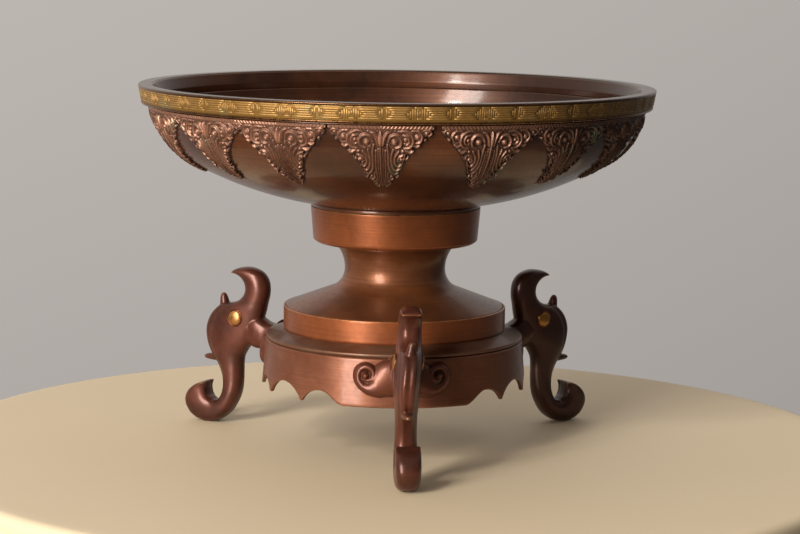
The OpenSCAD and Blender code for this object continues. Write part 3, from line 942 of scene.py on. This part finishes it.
def lappet_shell(rise, reach):
    """One lappet about azimuth 0, as points, faces and relief.
    The face is a grid across (columns) and down the basin's side (rows), lifted along the side's
    normal by the relief and sunk into the wall where the relief ends. A coarse back grid in the
    wall closes it, joined along the top and tip rows by fans."""
    rows, cols, coarse = 148, 165, 9
    side = bowl_side(0.0)[::-1]
    top = foot_of("rim_ring") - 0.4
    side = side[side[:, 1] < top]
    slope = np.gradient(side, axis=0)
    slope /= np.linalg.norm(slope, axis=1)[:, None]
    run = np.concatenate([[0], np.cumsum(np.linalg.norm(np.diff(side, axis=0), axis=1))])

    def on_side(x, s, lift):
        """Points x mm sideways and s mm down the basin's side, lifted off it along its normal."""
        r, z = np.interp(s, run, side[:, 0]), np.interp(s, run, side[:, 1])
        out = -np.interp(s, run, slope[:, 1])
        down = np.interp(s, run, slope[:, 0])
        a = x / r
        far = r + lift * out
        return np.stack([far * np.cos(a), far * np.sin(a), z + lift * down], -1)

    s = np.linspace(0, reach, rows)[:, None]
    # The grid is a little wider than the lappet, and no wider than its share of the rim
    half = np.minimum(lappet_half(s) + 1.7, 28.25)
    x = half * np.linspace(-1, 1, cols)[None]
    s = np.broadcast_to(s, x.shape)
    # Depths in the basin's wall at which the face ends and the back lies
    sunk, behind = -0.5, -0.9
    height = np.maximum(lappet_relief(x, s) * rise / LAPPET_TALLEST, sunk)
    height[:, [0, -1]] = sunk
    height[-1] = sunk
    front = on_side(x, s, height)
    pick = np.linspace(0, cols - 1, coarse).astype(int)
    back = on_side(x[:, pick], s[:, pick], behind)
    points = np.concatenate([front.reshape(-1, 3), back.reshape(-1, 3)])
    first = rows * cols
    faces = [grid_faces(rows, cols, False, False)]
    faces.append(grid_faces(rows, coarse, False, False)[:, ::-1] + first)
    i = np.arange(rows - 1)
    for column, back_column, turn in ((0, 0, 1), (cols - 1, coarse - 1, -1)):
        strip = np.stack([i * cols + column, (i + 1) * cols + column,
                          first + (i + 1) * coarse + back_column, first + i * coarse + back_column], 1)
        faces.append(strip[:, ::turn])
    near = np.abs(np.arange(cols)[:, None] - pick[None]).argmin(1)
    j = np.arange(cols - 1)
    for row, turn in ((0, -1), (rows - 1, 1)):
        tri = np.stack([row * cols + j, row * cols + j + 1, first + row * coarse + near[j]], 1)
        hop = j[near[j] != near[j + 1]]
        step = np.stack([row * cols + hop + 1, first + row * coarse + near[hop + 1],
                         first + row * coarse + near[hop]], 1)
        faces += [tri[:, ::-turn], step[:, ::-turn]]
    relief = np.concatenate([np.clip(height / rise, 0, 1).ravel(), np.zeros(back.size // 3)])
    return points, faces, relief


class FLOWERBASIN_OT_lappets(bpy.types.Operator):
    """Foliate lappets cast in relief under the rim"""

    bl_idname = "flowerbasin.lappets"
    bl_label = "Lappets"

    def execute(self, context):
        size = context.scene.basin_sizes
        points, faces, relief = lappet_shell(size.relief / MM, size.lappet_length / MM)
        finish = lappet_finish()
        names = sorted(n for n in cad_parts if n.startswith("lappet_"))
        for name in names:
            low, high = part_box(name)
            middle = (low + high) / 2
            azimuth = math.degrees(math.atan2(middle.x, -middle.y))
            mesh = make_mesh(name + "_cast", to_azimuth(points, azimuth), faces)
            write_values(mesh, "relief", relief)
            mark_edges(mesh, 1)
            put_piece(name + "_cast", mesh, "basin", [finish], [name])
        return {"FINISHED"}


# ---------------------------------------------------------------- pedestal


class FLOWERBASIN_OT_collar(bpy.types.Operator):
    """Collar cup that the basin's spigot drops into"""

    bl_idname = "flowerbasin.collar"
    bl_label = "Collar cup"

    def execute(self, context):
        low, high = foot_of("collar_cup"), top_of("collar_cup")
        out, bore, floor_z = radius_of("collar_cup"), BASIN_SPIGOT + PLAY, high - 14.5
        ring = rounded([
            (0, low, 0), (34.6, low, 0.5), (out - 3.6, low + 1.8, 1.0), (out - 1.6, low + 3.2, 1.6),
            (out, high, 0.5), (bore, high, 0.3), (bore, floor_z, 0), (0, floor_z, 0),
        ])
        turned_piece("collar_band", ring, "pedestal", [collar_finish()],
                     ["collar_cup"], poles=True)
        return {"FINISHED"}


def column_side(shift):
    """Neck and bell shifted outwards by shift mm: a concave arc under the collar, a tighter one
    below the waist, then the straight slope of the bell down to the drum."""
    waist = bpy.context.scene.stand_sizes.waist / MM
    waist_z, upper, lower, slope = 104.0, 21.4, 12.4, math.radians(21)
    foot = radius_of("pedestal_column")
    steps = 24
    top = math.asin((top_of("pedestal_column") - waist_z) / (upper - shift))
    a = np.linspace(top, 0, steps)[:, None]
    high = (waist + upper, waist_z) + (upper - shift) * np.hstack([-np.cos(a), np.sin(a)])
    a = np.linspace(0, math.pi / 2 - slope, steps)[1:, None]
    mid = (waist + lower, waist_z) - (lower - shift) * np.hstack([np.cos(a), np.sin(a)])
    r = np.linspace(mid[-1, 0], foot, steps)[1:]
    low = np.stack([r, mid[-1, 1] - (r - mid[-1, 0]) * math.tan(slope)], 1)
    return np.concatenate([high, mid, low])


class FLOWERBASIN_OT_column(bpy.types.Operator):
    """Hollow waisted neck that spreads into a bell"""

    bl_idname = "flowerbasin.column"
    bl_label = "Pedestal column"

    def execute(self, context):
        outer = column_side(0.0)
        inner = column_side(-context.scene.stand_sizes.pedestal_wall / MM)
        lip = foot_of("pedestal_column")
        thick = 5.0
        # The wall thickens into a foot that stands on the drum
        inner = inner[inner[:, 0] < outer[-1, 0] - thick]
        hem = [[outer[-1, 0], lip], [outer[-1, 0] - thick, lip]]
        profile = np.concatenate([outer, hem, inner[::-1]])
        turned_piece("neck_and_bell", profile, "pedestal", [column_finish()],
                     ["pedestal_column"])
        return {"FINISHED"}


class FLOWERBASIN_OT_drum(bpy.types.Operator):
    """Drum under the bell, with the spigot that drops into the ledge"""

    bl_idname = "flowerbasin.drum"
    bl_label = "Drum ring"

    def execute(self, context):
        low, high = foot_of("drum_ring"), top_of("drum_ring")
        seat = top_of("ledge_ring")
        out, bell, bore = radius_of("drum_ring"), radius_of("pedestal_column"), DRUM_SPIGOT - 4
        lip = foot_of("pedestal_column")
        profile = rounded([
            (bore, low, 0.3), (DRUM_SPIGOT, low, 0.5), (DRUM_SPIGOT, seat, 0),
            (out - 0.4, seat, 0.3), (out, seat + 1.0, 0.7), (out, high - 0.1, 0.5),
            (bell, high, 0), (bell, lip, 0), (bore, lip, 0.3),
        ])
        turned_piece("drum_band", profile, "pedestal", [collar_finish()],
                     ["drum_ring"])
        return {"FINISHED"}


# ---------------------------------------------------------------- stand


class FLOWERBASIN_OT_ledge(bpy.types.Operator):
    """Ledge that the drum stands on, with a bead round its edge"""

    bl_idname = "flowerbasin.ledge"
    bl_label = "Ledge ring"

    def execute(self, context):
        low, seat = foot_of("ledge_ring"), top_of("ledge_ring")
        out, drum = radius_of("ledge_ring"), radius_of("drum_ring")
        bore, edge, bead_radius = DRUM_SPIGOT + PLAY, out - 0.9, 1.2
        profile = np.concatenate([
            [[bore, low], [edge, low], [edge, low + 0.5]],
            arc((out - bead_radius, seat - 4.2), bead_radius, 40, 175, 16),
            [[out - 1.7, seat - 2.75], [drum + 0.3, seat - 0.12], [drum + 0.1, seat], [bore, seat]],
        ])
        turned_piece("ledge_moulding", profile, "stand", [ledge_finish()],
                     ["ledge_ring"])
        return {"FINISHED"}


# Degrees from a leg's middle to the end of its tab, the side arch's peak and the cusp after it
TAB_END = 27.0
SIDE_PEAK = 38.5
CUSP = 48.0


def apron_face(z):
    """Radius of the apron's outside at height z: it flares from the ledge down to its foot."""
    low, high = foot_of("apron"), top_of("apron")
    foot, top = radius_of("apron"), radius_of("ledge_ring")
    return foot + (top - foot) * (z - low) / (high - low)


def apron_edge(azimuth):
    """Height of the apron's lower edge: flat tabs under the legs, and between two legs a round
    arch between cusps with a gentler arch on each side that slopes off to the tab."""
    size = bpy.context.scene.stand_sizes
    low, side_top = size.tab_height / MM, size.side_arch / MM
    r = radius_of("apron")
    azimuth = azimuth - math.degrees(size.scallop_turn)
    off = np.abs((azimuth + LEG_STEP / 2) % LEG_STEP - LEG_STEP / 2)

    def round_arch(centre, top):
        """Circle's arc with its top over centre; it ends 0.5 mm short of the cusp beside it."""
        x = r * np.sin(np.radians(off - centre))
        half = r * math.sin(math.radians(abs(CUSP - centre))) - 0.5
        rise = top - low
        radius = (half**2 + rise**2) / (2 * rise)
        return x, np.where(
            np.abs(x) < half, top - radius + np.sqrt(np.maximum(radius**2 - x**2, 0)), low
        )

    _, middle = round_arch(LEG_STEP / 2, size.middle_arch / MM)
    x, side = round_arch(SIDE_PEAK, side_top)
    tab_x = -r * math.sin(math.radians(SIDE_PEAK - TAB_END))
    slope = low + (side_top - low) * step_up(x, tab_x, -1.0) ** 0.9
    side = np.where(x < 0, np.where(x > tab_x, slope, low), side)
    return np.where(off > CUSP, middle, np.where(off > TAB_END, side, low))


class FLOWERBASIN_OT_apron(bpy.types.Operator):
    """Flared apron with a scalloped lower edge"""

    bl_idname = "flowerbasin.apron"
    bl_label = "Apron"

    def execute(self, context):
        wall, top_z = context.scene.stand_sizes.apron_wall / MM, top_of("apron")
        corners = [k * LEG_STEP + s * a for k in range(3) for s in (-1, 1) for a in (CUSP, TAB_END)]
        corners = np.array(corners) + math.degrees(context.scene.stand_sizes.scallop_turn)
        azimuth = np.union1d(np.linspace(0, 360, 960, endpoint=False), corners % 360)
        # Round the section: down the face, round the lower edge, and back up the inside
        f = np.linspace(0, 1, 22)
        turn = np.linspace(0, np.pi, 9)[1:-1]
        round_edge = 0.55
        depth = np.concatenate([0 * f, wall / 2 * (1 - np.cos(turn)), wall + 0 * f])
        share = np.concatenate([f, 1 + 0 * turn, f[::-1]])
        drop = np.concatenate([0 * f, round_edge * np.sin(turn), 0 * f])
        low = apron_edge(azimuth)[:, None] + round_edge
        z = top_z + (low - top_z) * share - drop
        r = apron_face(z) - depth
        a = np.radians(azimuth)[:, None]
        points = np.stack([r * np.sin(a), -r * np.cos(a), z], -1)
        mesh = make_mesh("scalloped_apron", points.reshape(-1, 3),
                         [grid_faces(len(azimuth), points.shape[1], True, True)])
        write_values(mesh, "sweep", z.ravel())
        mark_edges(mesh, 2)
        put_piece("scalloped_apron", mesh, "stand", [apron_finish()], ["apron"])
        return {"FINISHED"}


# A leg as stations from the crest's tip to the trunk's cut end, in mm: front edge (distance from
# the axis, height), back edge (distance, height), half the thickness, and how square the section is
LEG_STATIONS = (
    (109.1, 92.6, 109.5, 93.3, 5.2, 2.2),
    (106.8, 92.1, 107.8, 94.9, 5.7, 2.3),
    (104.3, 90.8, 103.8, 96.3, 6.0, 2.3),
    (102.2, 88.6, 97.4, 96.7, 6.3, 2.3),
    (101.0, 86.0, 90.6, 94.6, 6.5, 2.3),
    (100.7, 83.2, 86.6, 90.6, 6.6, 2.3),
    (101.3, 80.6, 85.1, 85.6, 6.6, 2.3),
    (102.8, 78.2, 85.3, 80.4, 6.7, 2.4),
    (105.6, 76.0, 86.4, 75.6, 6.9, 2.5),
    (110.6, 74.4, 87.4, 71.0, 7.2, 2.7),
    (116.8, 73.4, 88.6, 66.4, 7.4, 2.8),
    (121.8, 69.6, 90.0, 62.2, 7.5, 2.9),
    (125.2, 64.8, 91.6, 58.2, 7.5, 2.9),
    (127.0, 59.0, 93.8, 54.2, 7.5, 2.9),
    (126.9, 53.4, 96.2, 50.2, 7.3, 2.8),
    (125.6, 47.8, 99.0, 46.4, 6.9, 2.7),
    (123.0, 42.2, 101.2, 42.4, 6.5, 2.5),
    (119.4, 37.2, 101.8, 38.2, 6.2, 2.3),
    (117.0, 32.8, 101.9, 33.4, 6.1, 2.2),
    (115.6, 28.4, 102.1, 28.2, 6.1, 2.2),
    (115.1, 24.0, 102.8, 22.4, 6.3, 2.3),
    (115.5, 20.0, 104.4, 17.0, 6.6, 2.4),
    (116.6, 16.8, 107.2, 11.6, 6.8, 2.5),
    (118.2, 14.6, 111.2, 6.2, 7.0, 2.7),
    (120.0, 13.7, 116.8, 2.0, 7.1, 2.9),
    (121.8, 14.0, 123.0, 0.0, 7.1, 3.0),
    (123.2, 15.2, 129.2, 0.1, 7.1, 3.0),
    (124.2, 16.9, 135.8, 2.8, 7.1, 3.0),
    (124.8, 18.8, 140.0, 7.7, 7.1, 3.0),
    (125.1, 20.6, 141.2, 12.9, 7.1, 3.0),
    (125.2, 22.2, 139.1, 18.0, 7.0, 3.0),
    (125.2, 23.6, 134.4, 22.1, 7.0, 3.1),
    (125.3, 24.8, 129.2, 24.4, 7.0, 3.2),
)
# A leg's root, in mm: distance from the axis, mid height, half height and half thickness
ROOT_STATIONS = (
    (75.4, 56.4, 10.4, 10.6),
    (77.4, 56.2, 8.8, 9.2),
    (80.0, 56.0, 7.9, 7.8),
    (84.0, 56.4, 8.0, 7.2),
    (88.0, 57.2, 9.2, 7.4),
    (92.0, 58.2, 10.0, 7.3),
    (96.0, 59.0, 9.0, 6.4),
    (100.0, 60.0, 5.5, 4.0),
)
# Distance of the eyes from the basin's axis, in mm
EYE_OUT = 104.3
# How far each crest stands from the pattern, outwards and sideways, in mm, as fitted
CREST_SHIFT = {"front": (0.0, 2.6), "right": (1.2, 0.0), "left": (-0.9, 0.0)}


def superellipse(angle, power):
    """Unit superellipse at an angle: |cos| and |sin| raised to 2 / power, with their signs."""
    c, s = np.cos(angle), np.sin(angle)
    return np.sign(c) * np.abs(c) ** (2 / power), np.sign(s) * np.abs(s) ** (2 / power)


def capped_tube(points):
    """Closed tube from rings of points [rows, columns, 3], with a hub point closing each end."""
    rows, cols, _ = points.shape
    hubs = np.stack([points[0].mean(0), points[-1].mean(0)])
    flat = np.concatenate([points.reshape(-1, 3), hubs])
    ring = np.arange(cols)
    return flat, [
        grid_faces(rows, cols, False, True),
        fan(ring[::-1], rows * cols),
        fan(ring + (rows - 1) * cols, rows * cols + 1),
    ]


def blob(centre, radii, turn=0.0, rows=24, cols=32):
    """Ellipsoid with its first radius leaning up by turn degrees in the leg's plane."""
    lat = np.linspace(-np.pi / 2 + 0.05, np.pi / 2 - 0.05, rows)[:, None]
    lon = np.linspace(0, 2 * np.pi, cols, endpoint=False)[None]
    x = radii[0] * np.sin(lat) + 0 * lon
    y = radii[1] * np.cos(lat) * np.cos(lon)
    z = radii[2] * np.cos(lat) * np.sin(lon)
    t = math.radians(turn)
    points = np.stack([
        centre[0] + x * math.cos(t) - z * math.sin(t),
        centre[1] + y,
        centre[2] + x * math.sin(t) + z * math.cos(t),
    ], -1)
    return capped_tube(points)


def spur(start, tip, radii, rows=24, cols=28):
    """Small blunt horn: oval sections along a straight path, narrowed to half and rounded off."""
    start, tip = np.array(start, float), np.array(tip, float)
    f = np.linspace(0, 1, rows)[:, None]
    way = (tip - start) / np.linalg.norm(tip - start)
    up = np.array([-way[2], 0, way[0]])
    path = start + (tip - start) * f
    thin = (1 - 0.45 * f) * np.sqrt(np.clip(1 - f**7, 0, 1)) + 0.02
    a = np.linspace(0, 2 * np.pi, cols, endpoint=False)[:, None]
    ring = np.cos(a) * up * radii[0] + np.sin(a) * np.array([0, 1, 0]) * radii[1]
    return capped_tube(path[:, None] + ring[None] * thin[:, :, None])


def fitted(points, leg):
    """Points of a leg bent as that leg was fitted: nothing below 50 mm, all of it above 85 mm."""
    out, side = CREST_SHIFT[leg]
    # A crest that leans outwards also sinks a little
    sink = -0.45 * out
    return points + step_up(points[:, 2:3], 50.0, 85.0) * np.array([out, side, sink])


def leg_shell():
    """One leg pointing along +X: a loft of rounded-square sections between the beast's front and
    back outlines, fused with its root, horn, lip and cheeks."""
    loft = smooth_curve(LEG_STATIONS, steps=190)
    front, back = loft[:, 0:2], loft[:, 2:4]
    thick, power = loft[:, 4:5], loft[:, 5:6]
    a = np.linspace(0, 2 * np.pi, 112, endpoint=False)[None]
    out, across = superellipse(a, power)
    middle, half = (front + back) / 2, (front - back) / 2
    row = np.linspace(0, 1, len(loft))[:, None]
    # The face narrows towards the front, most over the brow, behind a shallow groove
    brow = step_up(row, 0.22, 0.34) * (1 - step_up(row, 0.5, 0.6))
    across = across * (1 - (0.04 + 0.22 * brow) * np.clip(out, 0, 1) ** 1.5)
    across = across * (1 - 0.07 * brow * np.exp(-(((out - 0.74) / 0.07) ** 2)))
    # Two soft ridges down the front with a hollow between them
    on_front = step_up(out, 0.75, 0.98)
    side = across / 0.72
    hollow = -0.9 * np.exp(-((side / 0.3) ** 2))
    hollow = hollow + 0.35 * np.exp(-(((np.abs(side) - 0.66) / 0.22) ** 2))
    crest_to_lip = step_up(row, 0.05, 0.12) * (1 - step_up(row, 0.55, 0.68))
    extra = on_front * hollow * (0.25 + 0.75 * brow) * crest_to_lip
    # The trunk's end is cupped where it faces back
    cup = step_up(row, 0.8, 0.86) * (1 - step_up(np.abs(side), 0.8, 1.15))
    extra = extra - 1.3 * on_front * cup
    length_of = np.maximum(np.linalg.norm(half, axis=1), 0.05)[:, None]
    scale = out + extra / length_of
    x = middle[:, 0:1] + half[:, 0:1] * scale
    z = middle[:, 1:2] + half[:, 1:2] * scale
    body = capped_tube(np.stack([x, thick * across, z], -1))

    root = smooth_curve(ROOT_STATIONS, steps=60)
    out, across = superellipse(a, np.full((len(root), 1), 2.6))
    neck = capped_tube(np.stack([
        np.broadcast_to(root[:, 0:1], out.shape), root[:, 3:4] * across,
        root[:, 1:2] + root[:, 2:3] * out,
    ], -1))
    parts = [
        body, neck,
        spur((115.0, 0, 69.5), (116.9, 0, 80.0), (3.5, 3.6)),
        spur((116.5, 0, 40.4), (129.3, 0, 39.9), (2.8, 3.8)),
        # The jaw fills the fold between head and root, and a cheek lies round each eye
        blob((95.5, 0, 59.2), (14.0, 6.9, 8.6), 20),
    ]
    for side in (-1, 1):
        parts.append(blob((EYE_OUT, side * 4.6, 66.2), (7.4, 3.2, 6.8), -20))
    points, faces = remeshed("leg_form", *joined(parts), voxel=0.46, rounds=5)
    points[:, 2] = np.maximum(points[:, 2], 0)
    return points, faces


class FLOWERBASIN_OT_legs(bpy.types.Operator):
    """Three beast-head legs whose trunks curl up as feet"""

    bl_idname = "flowerbasin.legs"
    bl_label = "Legs"

    def execute(self, context):
        points, faces = leg_shell()
        finish = leg_finish()
        for k, name in enumerate(LEGS):
            placed = to_azimuth(fitted(points, name), LEG_STEP * k)
            mesh = make_mesh(f"beast_leg_{name}", placed, faces)
            mark_edges(mesh, 6)
            put_piece(f"beast_leg_{name}", mesh, "stand", [finish], [f"leg_{name}"])
        return {"FINISHED"}


class FLOWERBASIN_OT_eyes(bpy.types.Operator):
    """Gilt domed eyes in their socket rings"""

    bl_idname = "flowerbasin.eyes"
    bl_label = "Eyes"

    def execute(self, context):
        dome, ring, back, rim = 4.4, 5.2, -1.4, math.radians(78)
        a = np.linspace(0, rim, 16)
        cap = np.stack([dome * np.sin(a) / math.sin(rim), 1.5 * np.cos(a) + 0.1], 1)
        # A thin raised ring lies round the dome's foot
        edge = arc((4.85, 0.0), 0.45, 250, 100, 12)
        profile = np.concatenate([cap, edge, [[ring, back], [0, back]]])
        points, faces, along = lathe(profile, steps=64, poles=True)
        on_cap = np.linalg.norm(np.diff(cap, axis=0), axis=1).sum() + 0.01
        middle = np.array([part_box("eye_right_b")[k].z for k in (0, 1)]).mean() / MM
        proud = 7.3
        finish = gilt_finish()
        for k, name in enumerate(LEGS):
            for side, letter in SIDES:
                placed = np.stack([EYE_OUT + points[:, 0], side * (points[:, 2] + proud),
                                   middle + points[:, 1]], 1)
                placed = to_azimuth(fitted(placed, name), LEG_STEP * k)
                mesh = make_mesh(f"gilt_eye_{name}_{letter}", placed, faces)
                write_values(mesh, "gilt", along < on_cap)
                put_piece(mesh.name, mesh, "stand", [finish], [f"eye_{name}_{letter}"])
        return {"FINISHED"}


# Volute: the bulb's line as sideways, height, half width; then the snail's line about its middle as
# angle in degrees, distance, half width, all in mm
BULB_STATIONS = (
    (4.0, 52.8, 11.0), (8.0, 51.9, 10.6), (12.0, 49.7, 9.3), (15.2, 47.5, 6.9), (18.7, 46.7, 4.4),
)
SNAIL_MIDDLE = (20.6, 53.8)
SNAIL_STATIONS = (
    (-80, 6.3, 3.15), (-62, 5.5, 2.9), (-39, 4.9, 2.7), (0, 4.4, 2.45), (45, 4.6, 2.4),
    (90, 4.9, 2.4), (135, 4.8, 2.3), (180, 4.2, 2.15), (225, 3.2, 1.8), (270, 2.2, 1.55),
    (315, 1.3, 1.6), (360, 0.7, 1.7), (430, 0.2, 1.8),
)


def volute_shell():
    """One volute on the +Y side of a leg that points along +X.
    A tapering tube leaves the leg's root as a fat bulb, runs out along the apron and winds up
    into a snail: its line is a spiral about the snail's middle whose radius shrinks as it turns."""
    snail = smooth_curve(SNAIL_STATIONS, steps=130)
    angle = np.radians(snail[:, 0:1])
    spiral = SNAIL_MIDDLE + snail[:, 1:2] * np.hstack([np.cos(angle), np.sin(angle)])
    start = (*spiral[0], snail[0, 2])
    lead = smooth_curve((*BULB_STATIONS, start), steps=60)[:-1]
    path = np.concatenate([lead[:, :2], spiral])
    wide = np.concatenate([lead[:, 2:3], snail[:, 2:3]])
    way = np.gradient(path, axis=0)
    way /= np.linalg.norm(way, axis=1)[:, None]
    over = np.stack([-way[:, 1], way[:, 0]], 1)
    # The bulb stands proudest, the coils fall away, and the snail's middle rises again
    rise = np.linspace(0, 1, len(snail))[:, None]
    proud = np.linspace(6.6, 5.4, len(lead))[:, None]
    proud = np.concatenate([proud, 5.4 - 0.6 * rise + 1.2 * rise**6])
    a = np.linspace(0, 2 * np.pi, 48, endpoint=False)[None]
    out, across = superellipse(a, np.full((len(path), 1), 2.1))
    y = path[:, 0:1] + over[:, 0:1] * wide * across
    z = path[:, 1:2] + over[:, 1:2] * wide * across
    # It lies 0.6 mm deep in the apron's face, and is flatter on the side that faces the apron
    face = np.sqrt(np.maximum(apron_face(z) ** 2 - y**2, 1)) - 0.6
    x = face + proud * out * np.where(out < 0, 0.25, 1.0)
    tube = capped_tube(np.stack([x, y, z], -1))
    # A small button closes the middle of the snail
    button = blob((73.2, *SNAIL_MIDDLE), (5.6, 2.5, 2.5))
    return remeshed("volute_form", *joined([tube, button]), voxel=0.36, rounds=2)


class FLOWERBASIN_OT_volutes(bpy.types.Operator):
    """Snail-ended volutes beside each leg's root"""

    bl_idname = "flowerbasin.volutes"
    bl_label = "Volutes"

    def execute(self, context):
        points, faces = volute_shell()
        finish = volute_finish()
        for k, name in enumerate(LEGS):
            for side, letter in SIDES:
                placed = points * np.array([1, side, 1])
                mesh = make_mesh(f"snail_{name}_{letter}", to_azimuth(placed, LEG_STEP * k), faces)
                mark_edges(mesh, 4)
                put_piece(mesh.name, mesh, "stand", [finish],
                          [f"volute_{name}_{letter}"])
        return {"FINISHED"}


class FLOWERBASIN_OT_rivets(bpy.types.Operator):
    """Domed rivet heads inside the apron, two to a leg"""

    bl_idname = "flowerbasin.rivets"
    bl_label = "Leg rivets"

    def execute(self, context):
        shank, reach, head, rise = 2.0, 7.0, 3.0, 1.6
        a = np.radians(np.linspace(0, 90, 9))
        dome = np.stack([head * np.sin(a), -rise * np.cos(a)], 1)
        profile = np.concatenate([dome, [[shank, 0.05], [shank, reach], [0, reach]]])
        points, faces, along = lathe(profile, steps=40, poles=True)
        wall = context.scene.stand_sizes.apron_wall / MM
        shells = []
        for k in range(len(LEGS)):
            for z in (52.0, 59.0):
                inside = apron_face(z) - wall
                placed = np.stack([inside + points[:, 2], points[:, 0], z + points[:, 1]], 1)
                shells.append((to_azimuth(placed, LEG_STEP * k), faces))
        mesh = make_mesh("rivet_heads", *joined(shells))
        write_values(mesh, "sweep", np.tile(along, len(shells)))
        mark_edges(mesh, 1)
        put_piece("rivet_heads", mesh, "stand", [apron_finish()], ["leg_rivets"])
        return {"FINISHED"}


# ---------------------------------------------------------------- stage


class FLOWERBASIN_OT_stage(bpy.types.Operator):
    """Pale round table top, soft studio lights, a pale room and the camera"""

    bl_idname = "flowerbasin.stage"
    bl_label = "Stage"

    def execute(self, context):
        self.table_top()
        self.lights(context.scene)
        self.room(context.scene)
        self.camera(context.scene)
        return {"FINISHED"}

    def table_top(self):
        """The floor is a round table top: a turned slab with a rounded edge."""
        reach, deep, edge = 278.0, 34.0, 7.0
        slab = rounded([(0, 0, 0), (reach, 0, edge), (reach, -deep, edge), (0, -deep, 0)])
        points, faces, _ = lathe(densify(slab, step=8.0, closed=False), steps=256, poles=True)
        mesh = make_mesh("table_top", points, faces)
        mesh.materials.append(floor_finish())
        top = bpy.data.objects.new("table_top", mesh)
        bpy.context.scene.collection.objects.link(top)

    def lights(self, scene):
        """A tall window-like key lamp at the front left, and a small, higher and nearer lamp that
        shines into the bowl. Both face a point in the object, 12 cm above the table."""
        aim = Vector((0, 0, 0.12))
        for name, place, watts, wide, tall, tint in (
            ("key_lamp", (-2.9, -3.5, 1.25), 360.0, 1.5, 3.6, (1.0, 0.93, 0.86)),
            ("bowl_lamp", (-1.25, -1.65, 1.6), 9.0, 0.16, 0.16, (1.0, 0.96, 0.9)),
        ):
            lamp = bpy.data.lights.new(name, "AREA")
            lamp.energy = watts
            lamp.shape = "RECTANGLE"
            lamp.size = wide
            lamp.size_y = tall
            lamp.color = tint
            holder = bpy.data.objects.new(name, lamp)
            scene.collection.objects.link(holder)
            turn = (Vector(place) - aim).to_track_quat("Z", "Y")
            holder.matrix_world = Matrix.Translation(place) @ turn.to_matrix().to_4x4()

    def room(self, scene):
        """Pale wall behind and a dark room in front: strength follows the dot product of the
        direction looked in with the direction of the brightest part."""
        room = bpy.data.worlds.new("studio_room")
        room.use_nodes = True
        tree = room.node_tree
        looking = add(tree, "ShaderNodeTexCoord", (), out="Generated")
        brightest = Vector((-0.42, 0.75, 0.9)).normalized()
        towards = add(tree, "ShaderNodeVectorMath", (looking, brightest), out="Value",
                      operation="DOT_PRODUCT")
        strength = add(tree, "ShaderNodeMapRange", (towards, -0.1, 0.9, 0.12, 0.74))
        connect(tree, tree.nodes["Background"], (opaque(srgb(0xF4ECE6)), strength))
        scene.world = room

    def camera(self, scene):
        """Camera on a circle about the axis, turned by azimuth, tipped by pitch, then rolled."""
        stage = scene.stage_settings
        lens = bpy.data.cameras.new("studio_camera")
        lens.lens = stage.lens
        lens.sensor_width = 36.0
        holder = bpy.data.objects.new("studio_camera", lens)
        scene.collection.objects.link(holder)
        a = stage.azimuth
        place = (stage.distance * math.sin(a), -stage.distance * math.cos(a), stage.height)
        holder.matrix_world = (
            Matrix.Translation(place)
            @ Matrix.Rotation(a - stage.turn, 4, "Z")
            @ Matrix.Rotation(math.pi / 2 - stage.pitch, 4, "X")
            @ Matrix.Rotation(stage.roll, 4, "Z")
        )
        scene.camera = holder
        scene.view_settings.view_transform = "Standard"


# ---------------------------------------------------------------- add-on


PIECE_OPERATORS = (
    FLOWERBASIN_OT_bowl,
    FLOWERBASIN_OT_rim,
    FLOWERBASIN_OT_fret,
    FLOWERBASIN_OT_foot,
    FLOWERBASIN_OT_lappets,
    FLOWERBASIN_OT_collar,
    FLOWERBASIN_OT_column,
    FLOWERBASIN_OT_drum,
    FLOWERBASIN_OT_ledge,
    FLOWERBASIN_OT_apron,
    FLOWERBASIN_OT_legs,
    FLOWERBASIN_OT_eyes,
    FLOWERBASIN_OT_volutes,
    FLOWERBASIN_OT_rivets,
    FLOWERBASIN_OT_stage,
)
GROUPS = {
    "basin_sizes": BasinSizes,
    "stand_sizes": StandSizes,
    "finish_colours": FinishColours,
    "stage_settings": StageSettings,
}


class FLOWERBASIN_PT_panel(bpy.types.Panel):
    """Lists the basin's pieces"""

    bl_idname = "FLOWERBASIN_PT_panel"
    bl_label = "Flower Basin"
    bl_space_type = "VIEW_3D"
    bl_region_type = "UI"
    bl_category = "Basin"

    def draw(self, context):
        for operator in PIECE_OPERATORS:
            self.layout.operator(operator.bl_idname)
        for key, group in GROUPS.items():
            box = self.layout.box()
            for name in group.__annotations__:
                box.prop(getattr(context.scene, key), name)


CLASSES = (*GROUPS.values(), *PIECE_OPERATORS, FLOWERBASIN_PT_panel)


def register():
    """Registers the groups, operators and panel, and hangs the groups on the scene."""
    for each in CLASSES:
        bpy.utils.register_class(each)
    for key, group in GROUPS.items():
        setattr(bpy.types.Scene, key, bpy.props.PointerProperty(type=group))


def unregister():
    """Undoes register."""
    for key in GROUPS:
        delattr(bpy.types.Scene, key)
    for each in reversed(CLASSES):
        bpy.utils.unregister_class(each)


def main():
    """Builds every piece in order."""
    register()
    for operator in PIECE_OPERATORS:
        space, call = operator.bl_idname.split(".")
        getattr(getattr(bpy.ops, space), call)()


if __name__ == "__main__":
    main()
